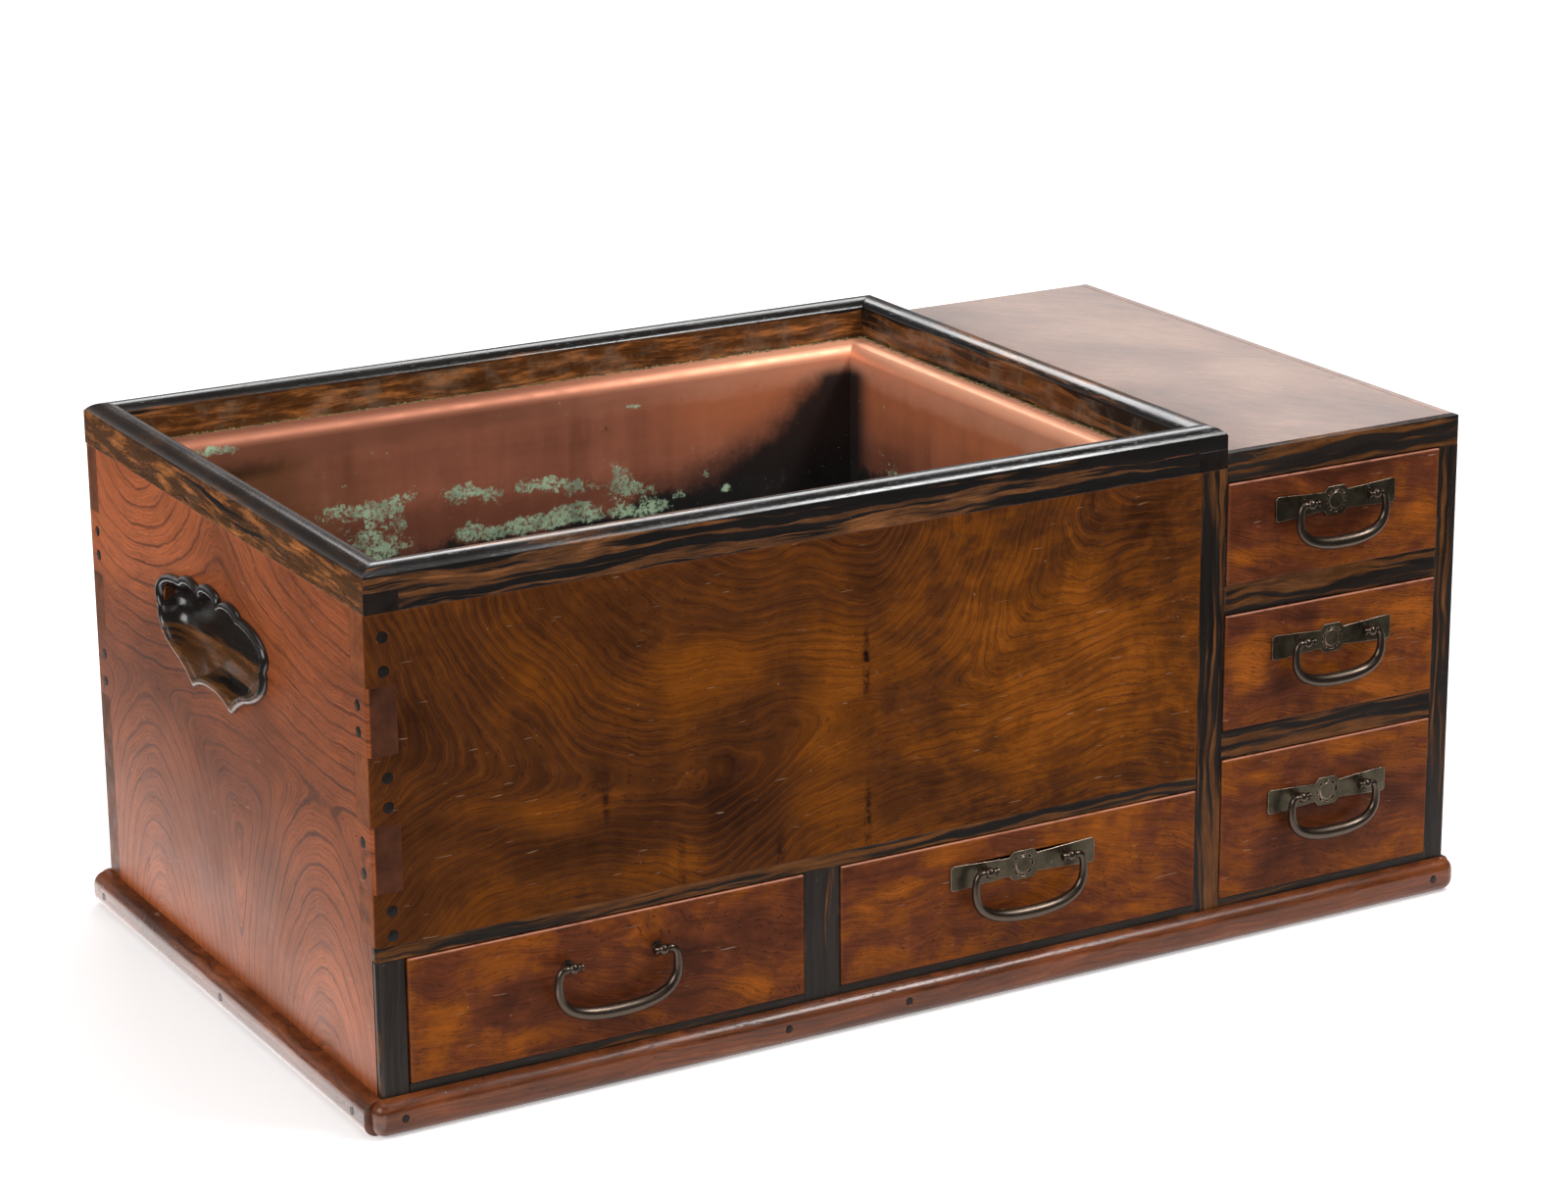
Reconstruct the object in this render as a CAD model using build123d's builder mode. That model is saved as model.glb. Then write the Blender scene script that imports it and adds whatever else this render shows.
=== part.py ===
from build123d import *
import os
from math import pi, sin

# A long brazier chest: a wooden carcase with a copper fire box on the left,
# a cabinet of three drawers on the right, and two drawers under the fire box.
# Millimetres. X runs to the right, Y to the back, Z up, and Z is 0 on the floor.

# Front, from left to right
left_stile_width = 18.0
left_bay_width = 259.7
lower_stile_width = 24.4
centre_bay_width = 258.2
centre_stile_width = 18.9
cabinet_bay_width = 163.0
right_stile_width = 14.8

# Depth, from front to back
body_depth = 424.0
front_panel_thickness = 20.0
back_panel_thickness = 18.0
facing_thickness = 6.0
rail_depth = 20.0

# Heights, from the floor up
bottom_rail_height = 27.5
bottom_board_thickness = 10.0
lower_bay_height = 77.3
lower_rail_height = 8.4
front_panel_height = 196.8
cabinet_bottom_bay_height = 93.4
cabinet_middle_bay_height = 76.2
cabinet_top_bay_height = 66.5
drawer_rail_height = 18.6
dust_board_thickness = 8.0
top_rail_height = 18.8
top_panel_thickness = 12.0
top_edge_band = 6.0

# Finger joints and their pegs at the two left corners, as shares of the front panel's height
finger_edge_shares = (0.0, 0.164, 0.368, 0.578, 0.784, 1.0)
face_peg_shares = (0.032, 0.107, 0.422, 0.511, 0.828, 0.929)
side_peg_shares = (0.213, 0.306, 0.640, 0.720)
peg_diameter = 7.0
peg_length = 24.0
face_peg_inset = 11.0
side_peg_inset = 13.0
corner_round = 3.0

# Rim round the fire box
rim_width = 21.5
rim_face_height = 21.0
rim_crown = 5.5
rim_lap_height = 12.5

# Base moulding
base_height = 22.0
base_front_reach = 9.0
base_back_reach = 9.0
base_left_reach = 11.5
base_right_reach = 6.0
base_end_overhang = 7.5
base_round = 8.0
base_round_limit_share = 0.9
base_peg_diameter = 4.6
base_peg_length = 14.0
base_front_peg_shares = (0.014, 0.346, 0.457, 0.983)
base_side_peg_shares = (0.04, 0.5, 0.96)

# Copper liner and the battens that carry its flange
ledge_width = 8.0
ledge_height = 12.0
liner_wall = 1.5
liner_bend = 10.0
flange_seat_gap = 0.3
flange_edge_gap = 0.8
flange_side_flat = 9.0
flange_end_flat = 6.0
liner_floor_gap = 2.5

# Drawers
drawer_proud = 1.2
drawer_side_gap = 0.6
drawer_top_gap = 0.8
drawer_slide_gap = 0.3
drawer_back_gap = 4.0
drawer_front_thickness = 18.0
drawer_side_thickness = 9.0
drawer_bottom_thickness = 6.0
drawer_side_drop = 4.0
drawer_lap = 11.0
drawer_edge_round = 0.8

# Pull handles: posts, plates and swinging bails
post_reach = 9.0
post_head_radius = 3.4
post_stem_radius = 2.0
post_neck_depth = 2.4
post_collar_radius = 3.2
post_collar_length = 1.0
post_washer_radius = 4.5
post_washer_length = 1.0
bail_pin_radius = 1.7
bail_pin_clearance = 0.08
bail_pin_overrun = 1.2
bail_knob_radius = 2.3
bail_knob_length = 1.2
bail_eye_gap = 0.3
bail_arm_radius = 2.2
bail_belly_radius = 4.2
bail_stations = 11
bail_swell_power = 1.6
# Points that the bow's centre line passes on its way from the eye to its middle
bail_bend_shares = (
    (0.942, -0.03),
    (0.98, -0.119),
    (0.998, -0.256),
    (0.996, -0.421),
    (0.959, -0.594),
    (0.867, -0.752),
    (0.705, -0.877),
    (0.477, -0.957),
    (0.217, -0.994),
)
plate_thickness = 1.2
plate_end_height = 16.5
plate_waist_height = 11.0
plate_corner_round = 2.4
plate_boss_length_share = 0.2
plate_boss_flat_share = 0.69
plate_boss_height = 18.6
plate_boss_side_height = 11.6
plate_disc_radius = 5.2
plate_disc_rise = 0.4
plate_petals = 8
plate_petal_ring = 6.9
plate_petal_length = 3.2
plate_petal_width = 1.0

# The small handle sits on the three cabinet drawers, the large one on the lower drawers
small_post_spacing = 50.0
small_bail_outreach = 10.2
small_bail_drop = 31.5
small_plate_length = 91.5
small_plate_below_post = 2.5
large_post_spacing = 58.5
large_bail_outreach = 12.05
large_bail_drop = 35.5
large_plate_length = 104.0
large_plate_below_post = 2.8
top_post_height = 46.7
middle_post_height = 51.5
bottom_post_height = 61.0
centre_post_height = 56.1
left_post_height = 53.0

# Carved pull let into the left side
pull_length = 162.0
pull_height = 71.0
pull_from_front = 223.0
pull_middle_height = 232.5
pull_lip_width = 8.5
pull_body_inset = 4.0
pull_proud = 4.0
pull_depth = 15.0
pull_back_thickness = 2.5
pull_lip_round = 1.5
pull_mortise_clearance = 0.1
# Each arc of the right half of the outline: its middle and its end, from the top centre
pull_arc_shares = (
    ((0.12, 0.97), (0.19, 0.80)),
    ((0.38, 0.93), (0.57, 0.80)),
    ((0.91, 0.66), (1.0, 0.12)),
    ((0.91, -0.38), (0.62, -0.66)),
    ((0.46, -0.84), (0.36, -1.0)),
    ((0.22, -0.87), (0.0, -0.82)),
)

# Places worked out from the sizes above
body_width = (
    left_stile_width
    + left_bay_width
    + lower_stile_width
    + centre_bay_width
    + centre_stile_width
    + cabinet_bay_width
    + right_stile_width
)
front_reach = drawer_proud + post_reach + bail_belly_radius
left = -(base_left_reach + body_width + base_right_reach) / 2 + base_left_reach
right = left + body_width
front = -(front_reach + body_depth + base_back_reach) / 2 + front_reach
back = front + body_depth

inner_left = left + left_stile_width
lower_stile_left = inner_left + left_bay_width
lower_stile_right = lower_stile_left + lower_stile_width
partition_left = lower_stile_right + centre_bay_width
partition_right = partition_left + centre_stile_width
inner_right = partition_right + cabinet_bay_width
facing_back = front + facing_thickness
rail_back = front + rail_depth
inner_front = front + front_panel_thickness
inner_back = back - back_panel_thickness

lower_bay_top = bottom_rail_height + lower_bay_height
panel_bottom = lower_bay_top + lower_rail_height
panel_top = panel_bottom + front_panel_height
middle_bay_bottom = bottom_rail_height + cabinet_bottom_bay_height + drawer_rail_height
top_bay_bottom = middle_bay_bottom + cabinet_middle_bay_height + drawer_rail_height
top_rail_bottom = top_bay_bottom + cabinet_top_bay_height
cabinet_top = top_rail_bottom + top_rail_height
top_panel_bottom = cabinet_top - top_panel_thickness

FROM_CORNER = (Align.MIN, Align.MIN, Align.MIN)
FROM_BASE = (Align.CENTER, Align.CENTER, Align.MIN)


def save(piece, name):
    """Labels a finished piece and writes it to its own file."""
    piece.part.label = name
    export_step(piece.part, f"parts/{name}.step")


def slab(x_span, y_span, z_span, mode=Mode.ADD):
    """A square-edged board between two planes on each axis."""
    with Locations((x_span[0], y_span[0], z_span[0])):
        Box(
            x_span[1] - x_span[0],
            y_span[1] - y_span[0],
            z_span[1] - z_span[0],
            align=FROM_CORNER,
            mode=mode,
        )


def finger_spans(first):
    """Heights of every second finger: 0 for the front panel's, 1 for the side's."""
    edges = [panel_bottom + share * front_panel_height for share in finger_edge_shares]
    return list(zip(edges, edges[1:]))[first::2]


def ease_corner(x_corner, y_corner, x_way, y_way, z_span):
    """Rounds an upright outer corner of the carcase."""
    centre = (x_corner + x_way * corner_round, y_corner + y_way * corner_round)
    with BuildSketch(Plane.XY.offset(z_span[0])) as waste:
        with Locations((x_corner + x_way * corner_round / 2, y_corner + y_way * corner_round / 2)):
            Rectangle(corner_round, corner_round)
        with Locations(centre):
            Circle(corner_round, mode=Mode.SUBTRACT)
    extrude(waste.sketch, amount=z_span[1] - z_span[0], mode=Mode.SUBTRACT)


def panel_height_at(share):
    return panel_bottom + share * front_panel_height


# Each peg's plane lies on the outer face, with its axis pointing into the wood
front_peg_planes = [
    Plane(origin=(left + face_peg_inset, front, panel_height_at(share)), z_dir=(0, 1, 0))
    for share in face_peg_shares
]
back_peg_planes = [
    Plane(origin=(left + face_peg_inset, back, panel_height_at(share)), z_dir=(0, -1, 0))
    for share in face_peg_shares
]
side_peg_planes = [
    Plane(origin=(left, y, panel_height_at(share)), z_dir=(1, 0, 0))
    for share in side_peg_shares
    for y in (front + side_peg_inset, back - side_peg_inset)
]
corner_peg_planes = front_peg_planes + back_peg_planes + side_peg_planes
base_peg_planes = [
    Plane(origin=(left + share * body_width, front - base_front_reach, base_height / 2), z_dir=(0, 1, 0))
    for share in base_front_peg_shares
] + [
    Plane(origin=(left - base_left_reach, front + share * body_depth, base_height / 2), z_dir=(1, 0, 0))
    for share in base_side_peg_shares
]


def corner_pegs(mode):
    with Locations(*corner_peg_planes):
        Cylinder(peg_diameter / 2, peg_length, align=FROM_BASE, mode=mode)


def base_pegs(mode):
    with Locations(*base_peg_planes):
        Cylinder(base_peg_diameter / 2, base_peg_length, align=FROM_BASE, mode=mode)


def pull_outline(x, inset):
    """The cloud shape of the side pull, drawn in by an inset, on a plane across X."""
    half_length = pull_length / 2 - inset
    half_height = pull_height / 2 - inset
    plane = Plane(origin=(x, front + pull_from_front, pull_middle_height), x_dir=(0, 1, 0), z_dir=(1, 0, 0))
    with BuildSketch(plane) as outline:
        with BuildLine():
            for side in (1, -1):
                start = (0, half_height)
                for middle_shares, end_shares in pull_arc_shares:
                    middle = (side * middle_shares[0] * half_length, middle_shares[1] * half_height)
                    end = (side * end_shares[0] * half_length, end_shares[1] * half_height)
                    ThreePointArc(start, middle, end)
                    start = end
        make_face()
    return outline.sketch


os.makedirs("parts", exist_ok=True)

# Carcase panels
with BuildPart() as left_side_panel:
    slab((left, inner_left), (front, back), (0, panel_top))
    slab((left, inner_left), (front, facing_back), (0, panel_bottom), Mode.SUBTRACT)
    slab((left, inner_left), (inner_back, back), (0, panel_bottom), Mode.SUBTRACT)
    for span in finger_spans(0):
        slab((left, inner_left), (front, inner_front), span, Mode.SUBTRACT)
        slab((left, inner_left), (inner_back, back), span, Mode.SUBTRACT)
    ease_corner(left, front, 1, 1, (panel_bottom, panel_top))
    ease_corner(left, back, 1, -1, (panel_bottom, panel_top))
    corner_pegs(Mode.SUBTRACT)
    base_pegs(Mode.SUBTRACT)
    extrude(
        pull_outline(left, pull_body_inset - pull_mortise_clearance),
        amount=left_stile_width,
        mode=Mode.SUBTRACT,
    )
save(left_side_panel, "left_side_panel")

with BuildPart() as front_panel:
    slab((left, partition_left), (front, inner_front), (panel_bottom, panel_top))
    for span in finger_spans(1):
        slab((left, inner_left), (front, inner_front), span, Mode.SUBTRACT)
    ease_corner(left, front, 1, 1, (panel_bottom, panel_top))
    corner_pegs(Mode.SUBTRACT)
save(front_panel, "front_panel")

with BuildPart() as back_panel:
    slab((left, inner_right), (inner_back, back), (0, panel_top))
    for span in finger_spans(1):
        slab((left, inner_left), (inner_back, back), span, Mode.SUBTRACT)
    slab((partition_right, inner_right), (inner_back, back), (top_panel_bottom, panel_top), Mode.SUBTRACT)
    ease_corner(left, back, 1, -1, (0, panel_top))
    corner_pegs(Mode.SUBTRACT)
    base_pegs(Mode.SUBTRACT)
save(back_panel, "back_panel")

with BuildPart() as right_side_panel:
    slab((inner_right, right), (facing_back, back), (0, cabinet_top))
    slab((inner_right, right - top_edge_band), (facing_back, back), (top_panel_bottom, cabinet_top), Mode.SUBTRACT)
save(right_side_panel, "right_side_panel")

with BuildPart() as cabinet_partition:
    slab((partition_left, partition_right), (facing_back, inner_back), (bottom_rail_height, panel_top))
save(cabinet_partition, "cabinet_partition")

with BuildPart() as lower_partition:
    slab((lower_stile_left, lower_stile_right), (facing_back, inner_back), (bottom_rail_height, lower_bay_top))
save(lower_partition, "lower_partition")

with BuildPart() as firebox_floor:
    slab((inner_left, partition_left), (facing_back, inner_back), (lower_bay_top, panel_bottom))
save(firebox_floor, "firebox_floor")

with BuildPart() as bottom_board:
    slab(
        (inner_left, inner_right),
        (rail_back, inner_back),
        (bottom_rail_height - bottom_board_thickness, bottom_rail_height),
    )
save(bottom_board, "bottom_board")

# Facings of the front: stiles, rails and the plinth rail behind the moulding
stiles = {
    "left_stile": ((left, inner_left), (0, lower_bay_top)),
    "lower_middle_stile": ((lower_stile_left, lower_stile_right), (0, lower_bay_top)),
    "centre_stile": ((partition_left, partition_right), (0, panel_top)),
    "right_stile": ((inner_right, right), (0, top_rail_bottom)),
}
for name, (x_span, z_span) in stiles.items():
    with BuildPart() as stile:
        slab(x_span, (front, facing_back), z_span)
        if name == "left_stile":
            ease_corner(left, front, 1, 1, z_span)
        base_pegs(Mode.SUBTRACT)
    save(stile, name)

with BuildPart() as lower_drawer_rail:
    slab((left, partition_left), (front, facing_back), (lower_bay_top, panel_bottom))
    ease_corner(left, front, 1, 1, (lower_bay_top, panel_bottom))
save(lower_drawer_rail, "lower_drawer_rail")

with BuildPart() as bottom_rail:
    slab((inner_left, inner_right), (facing_back, rail_back), (0, bottom_rail_height))
    for x_span in (
        (inner_left, lower_stile_left),
        (lower_stile_right, partition_left),
        (partition_right, inner_right),
    ):
        slab(x_span, (front, facing_back), (0, bottom_rail_height))
    base_pegs(Mode.SUBTRACT)
save(bottom_rail, "bottom_rail")

with BuildPart() as drawer_rails:
    for top in (middle_bay_bottom, top_bay_bottom):
        slab((partition_right, inner_right), (front, rail_back), (top - drawer_rail_height, top))
save(drawer_rails, "drawer_rails")

with BuildPart() as dust_boards:
    for top in (middle_bay_bottom, top_bay_bottom):
        slab((partition_right, inner_right), (rail_back, inner_back), (top - dust_board_thickness, top))
save(dust_boards, "dust_boards")

with BuildPart() as cabinet_top_rail:
    slab((partition_right, right), (front, facing_back), (top_rail_bottom, cabinet_top))
save(cabinet_top_rail, "cabinet_top_rail")

with BuildPart() as cabinet_top_panel:
    slab((partition_right, right - top_edge_band), (facing_back, back), (top_panel_bottom, cabinet_top))
save(cabinet_top_panel, "cabinet_top_panel")

# Rim: a crowned section, halved at the corners below and mitred above
rim_lap_top = panel_top + rim_lap_height


def rim_section(plane):
    """Upright faces with a shallow crown over them."""
    with BuildSketch(plane) as section:
        with BuildLine():
            Polyline((0, rim_face_height), (0, 0), (rim_width, 0), (rim_width, rim_face_height))
            ThreePointArc(
                (0, rim_face_height),
                (rim_width / 2, rim_face_height + rim_crown),
                (rim_width, rim_face_height),
            )
        make_face()
    return section.sketch


def cut_mitre(corner, x_way, y_way, along_x):
    """Takes the neighbour's half of a mitred corner off one rim piece."""
    x, y = corner
    far = (x + x_way * rim_width, y + y_way * rim_width)
    third = (x, far[1]) if along_x else (far[0], y)
    with BuildSketch(Plane.XY.offset(rim_lap_top)) as waste:
        with BuildLine():
            Polyline(corner, far, third, close=True)
        make_face()
    extrude(waste.sketch, amount=rim_face_height + rim_crown, mode=Mode.SUBTRACT)


for name, y_start, y_way in (("rim_front", front, 1), ("rim_back", back, -1)):
    with BuildPart() as rim:
        plane = Plane(origin=(left, y_start, panel_top), x_dir=(0, y_way, 0), z_dir=(y_way, 0, 0))
        extrude(rim_section(plane), amount=y_way * (partition_right - left))
        for x_corner, x_way in ((left, 1), (partition_right, -1)):
            cut_mitre((x_corner, y_start), x_way, y_way, True)
            x_far = x_corner + x_way * rim_width
            y_far = y_start + y_way * rim_width
            slab(
                sorted((x_corner, x_far)),
                sorted((y_start, y_far)),
                (panel_top, rim_lap_top),
                Mode.SUBTRACT,
            )
    save(rim, name)

for name, x_start, x_way in (("rim_left", left, 1), ("rim_right", partition_right, -1)):
    with BuildPart() as rim:
        plane = Plane(origin=(x_start, front, panel_top), x_dir=(x_way, 0, 0), z_dir=(0, -x_way, 0))
        extrude(rim_section(plane), amount=-x_way * body_depth)
        for y_corner, y_way in ((front, 1), (back, -1)):
            cut_mitre((x_start, y_corner), x_way, y_way, False)
    save(rim, name)

# Base moulding, pegged to the carcase all round
for name, y_start, reach, y_way in (
    ("base_moulding_front", front, base_front_reach, -1),
    ("base_moulding_back", back, base_back_reach, 1),
):
    with BuildPart() as moulding:
        slab(
            (left - base_end_overhang, right + base_right_reach),
            sorted((y_start, y_start + y_way * reach)),
            (0, base_height),
        )
        outer = moulding.faces().sort_by(Axis.Y)[0 if y_way < 0 else -1]
        ends = moulding.faces().sort_by(Axis.X)
        rounded = outer.edges() + ends[0].edges().filter_by(Axis.Y) + ends[-1].edges().filter_by(Axis.Y)
        fillet(rounded, radius=min(base_round, reach * base_round_limit_share))
        base_pegs(Mode.SUBTRACT)
    save(moulding, name)

for name, x_start, reach, x_way in (
    ("base_moulding_left", left, base_left_reach, -1),
    ("base_moulding_right", right, base_right_reach, 1),
):
    with BuildPart() as moulding:
        slab(sorted((x_start, x_start + x_way * reach)), (front, back), (0, base_height))
        outer = moulding.faces().sort_by(Axis.X)[0 if x_way < 0 else -1]
        fillet(outer.edges().filter_by(Axis.Y), radius=min(base_round, reach * base_round_limit_share))
        base_pegs(Mode.SUBTRACT)
    save(moulding, name)

with BuildPart() as wooden_pegs:
    corner_pegs(Mode.ADD)
    base_pegs(Mode.ADD)
save(wooden_pegs, "wooden_pegs")

# Carved side pull: a raised lip, a body let through the side and a scooped cup
with BuildPart() as side_pull:
    extrude(pull_outline(left - pull_proud, 0), amount=pull_proud)
    extrude(pull_outline(left, pull_body_inset), amount=pull_depth + pull_back_thickness)
    extrude(
        pull_outline(left - pull_proud, pull_lip_width),
        amount=pull_proud + pull_depth,
        mode=Mode.SUBTRACT,
    )
save(side_pull, "side_pull")

# Fire box: battens round the inside, and the copper liner hanging on them by its flange
with BuildPart() as liner_ledges:
    ledge_span = (panel_top - ledge_height, panel_top)
    slab((inner_left, partition_left), (inner_front, inner_front + ledge_width), ledge_span)
    slab((inner_left, partition_left), (inner_back - ledge_width, inner_back), ledge_span)
    ledge_ends = (inner_front + ledge_width, inner_back - ledge_width)
    slab((inner_left, inner_left + ledge_width), ledge_ends, ledge_span)
    slab((partition_left - ledge_width, partition_left), ledge_ends, ledge_span)
save(liner_ledges, "liner_ledges")

flange_bottom = panel_top + flange_seat_gap
flange_top = flange_bottom + liner_wall
rim_inner_x = (left + rim_width, partition_right - rim_width)
rim_inner_y = (front + rim_width, back - rim_width)
cavity_x = (
    rim_inner_x[0] + flange_side_flat + liner_bend,
    rim_inner_x[1] - flange_side_flat - liner_bend,
)
cavity_y = (
    rim_inner_y[0] + flange_end_flat + liner_bend,
    rim_inner_y[1] - flange_end_flat - liner_bend,
)
liner_bottom = panel_bottom + liner_floor_gap

with BuildPart() as copper_liner:
    slab(
        (rim_inner_x[0] + flange_edge_gap, rim_inner_x[1] - flange_edge_gap),
        (rim_inner_y[0] + flange_edge_gap, rim_inner_y[1] - flange_edge_gap),
        (flange_bottom, flange_top),
    )
    slab(
        (cavity_x[0] - liner_wall, cavity_x[1] + liner_wall),
        (cavity_y[0] - liner_wall, cavity_y[1] + liner_wall),
        (liner_bottom, flange_bottom),
    )
    under_flange = copper_liner.faces().filter_by(Axis.Z).sort_by(Axis.Z)[1]
    neck = under_flange.inner_wires()[0].edges()
    fillet(neck, radius=liner_bend - liner_wall)
    slab(cavity_x, cavity_y, (liner_bottom + liner_wall, flange_top), Mode.SUBTRACT)
    mouth = copper_liner.faces().sort_by(Axis.Z)[-1].inner_wires()[0].edges()
    fillet(mouth, radius=liner_bend)
save(copper_liner, "copper_liner")


# Drawers
def drawer_spans(bay_left, bay_width, bay_bottom, bay_height):
    """Outer spans of a drawer in its bay, with its running clearances."""
    x_span = (bay_left + drawer_side_gap, bay_left + bay_width - drawer_side_gap)
    y_span = (front - drawer_proud, inner_back - drawer_back_gap)
    z_span = (bay_bottom + drawer_slide_gap, bay_bottom + bay_height - drawer_top_gap)
    return x_span, y_span, z_span


def post_planes(x_middle, z_post, spacing):
    """A plane at each post's head, with its axis pointing into the drawer front."""
    y_head = front - drawer_proud - post_reach
    return [Plane(origin=(x_middle + way * spacing / 2, y_head, z_post), z_dir=(0, 1, 0)) for way in (-1, 1)]


def make_drawer_box(name, x_span, y_span, z_span, posts):
    """Front, the three walls behind it and the bottom under them."""
    front_back = y_span[0] + drawer_front_thickness
    lap_front = front_back - drawer_lap
    wall_z = (z_span[0] + drawer_bottom_thickness, z_span[1] - drawer_side_drop)
    side_x = (
        (x_span[0], x_span[0] + drawer_side_thickness),
        (x_span[1] - drawer_side_thickness, x_span[1]),
    )
    with BuildPart() as drawer_front:
        slab(x_span, (y_span[0], front_back), z_span)
        fillet(drawer_front.faces().sort_by(Axis.Y)[0].edges(), radius=drawer_edge_round)
        for span in side_x:
            slab(span, (lap_front, front_back), wall_z, Mode.SUBTRACT)
        slab(x_span, (lap_front, front_back), (z_span[0], wall_z[0]), Mode.SUBTRACT)
        with Locations(*posts):
            Cylinder(
                post_stem_radius,
                post_reach + drawer_front_thickness,
                align=FROM_BASE,
                mode=Mode.SUBTRACT,
            )
    save(drawer_front, f"{name}_front")

    with BuildPart() as drawer_walls:
        for span in side_x:
            slab(span, (lap_front, y_span[1]), wall_z)
    walls = drawer_walls.part
    with BuildPart() as drawer_back:
        slab((side_x[0][1], side_x[1][0]), (y_span[1] - drawer_side_thickness, y_span[1]), wall_z)
    save_group([walls, drawer_back.part], f"{name}_walls")

    with BuildPart() as drawer_bottom:
        slab(x_span, (lap_front, y_span[1]), (z_span[0], wall_z[0]))
    save(drawer_bottom, f"{name}_bottom")


def save_group(parts, name):
    """Writes several separate boards that share one node."""
    solids = [solid for part in parts for solid in part.solids()]
    group = Compound(label=name, children=solids)
    export_step(group, f"parts/{name}.step")


def make_posts(name, posts):
    """Two round-headed eyes, each with a collar, a stem and a washer inside the front."""
    with BuildPart() as post_pair:
        with Locations(*posts):
            Sphere(post_head_radius)
        with Locations(*[post.offset(post_neck_depth) for post in posts]):
            Cylinder(
                post_stem_radius,
                post_reach - post_neck_depth + drawer_front_thickness + post_washer_length,
                align=FROM_BASE,
            )
        with Locations(*[post.offset(post_reach - plate_thickness - post_collar_length) for post in posts]):
            Cylinder(post_collar_radius, post_collar_length, align=FROM_BASE)
        with Locations(*[post.offset(post_reach + drawer_front_thickness) for post in posts]):
            Cylinder(post_washer_radius, post_washer_length, align=FROM_BASE)
        for post in posts:
            with Locations(Plane(origin=post.origin, z_dir=(1, 0, 0))):
                Cylinder(
                    bail_pin_radius + bail_pin_clearance,
                    2 * (post_head_radius + bail_eye_gap),
                    mode=Mode.SUBTRACT,
                )
    save(post_pair, f"{name}_posts")


def boss_outline(half_width):
    """The eight-cornered middle of a backplate."""
    half_flat, half_height = half_width * plate_boss_flat_share, plate_boss_height / 2
    half_side = plate_boss_side_height / 2
    top = [(half_width, half_side), (half_flat, half_height), (-half_flat, half_height), (-half_width, half_side)]
    with BuildSketch() as boss:
        Polygon(*top, *[(-x, -z) for x, z in top], align=None)
    return boss.sketch


def make_plate(name, x_middle, z_middle, length, posts):
    """Thin backplate with flared ends, an eight-cornered middle, and petal cuts round a raised disc."""
    y_face = front - drawer_proud
    plane = Plane(origin=(x_middle, y_face, z_middle), x_dir=(1, 0, 0), z_dir=(0, -1, 0))
    end, waist, tall = length / 2, plate_waist_height / 2, plate_end_height / 2
    with BuildPart() as plate:
        with BuildSketch(plane) as outline:
            with BuildLine():
                Polyline(
                    (-end, -tall), (0, -waist), (end, -tall), (end, tall), (0, waist), (-end, tall), close=True
                )
            make_face()
            corners = outline.vertices().group_by(Axis.X)
            fillet(corners[0] + corners[-1], radius=plate_corner_round)
            add(boss_outline(length * plate_boss_length_share / 2))
            with PolarLocations(plate_petal_ring, plate_petals):
                SlotOverall(plate_petal_length, plate_petal_width, rotation=90, mode=Mode.SUBTRACT)
        extrude(amount=plate_thickness)
        with BuildSketch(plane.offset(plate_thickness)):
            Circle(plate_disc_radius)
        extrude(amount=plate_disc_rise)
        with Locations(*posts):
            Cylinder(post_stem_radius, post_reach, align=FROM_BASE, mode=Mode.SUBTRACT)
    save(plate, f"{name}_plate")


def make_bail(name, x_middle, z_post, spacing, outreach, drop):
    """A bow that swells towards its bottom, with a headed pin through each post."""
    y_head = front - drawer_proud - post_reach
    half_width = spacing / 2 + outreach - bail_arm_radius
    depth = drop - bail_belly_radius
    arm_start = spacing / 2 + post_head_radius + bail_eye_gap
    plane = Plane(origin=(x_middle, y_head, z_post), x_dir=(1, 0, 0), z_dir=(0, -1, 0))
    right_bends = [(x_share * half_width, z_share * depth) for x_share, z_share in bail_bend_shares]
    left_bends = [(-x, z) for x, z in reversed(right_bends)]
    with BuildLine(plane) as centre_line:
        Spline((arm_start, 0), *right_bends, (0, -depth), *left_bends, (-arm_start, 0))
    path = centre_line.edges()[0]
    pin_reach = 2 * post_head_radius + bail_eye_gap + bail_pin_overrun
    with BuildPart() as bail:
        for station in range(bail_stations):
            share = station / (bail_stations - 1)
            swell = sin(share * pi) ** bail_swell_power
            with BuildSketch(Plane(origin=path @ share, x_dir=(0, 1, 0), z_dir=path % share)):
                Circle(bail_arm_radius + swell * (bail_belly_radius - bail_arm_radius))
        sweep(path=centre_line.wires()[0], multisection=True)
        for way in (-1, 1):
            arm_end = Plane(origin=(x_middle + way * arm_start, y_head, z_post), z_dir=(-way, 0, 0))
            with Locations(arm_end):
                Cylinder(bail_pin_radius, pin_reach, align=FROM_BASE)
            with Locations(arm_end.offset(pin_reach)):
                Cylinder(bail_knob_radius, bail_knob_length, align=FROM_BASE)
    save(bail, f"{name}_bail")


small_handle = (
    small_post_spacing,
    small_bail_outreach,
    small_bail_drop,
    small_plate_length,
    small_plate_below_post,
)
large_handle = (
    large_post_spacing,
    large_bail_outreach,
    large_bail_drop,
    large_plate_length,
    large_plate_below_post,
)
lower_bay = (bottom_rail_height, lower_bay_height)
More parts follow.
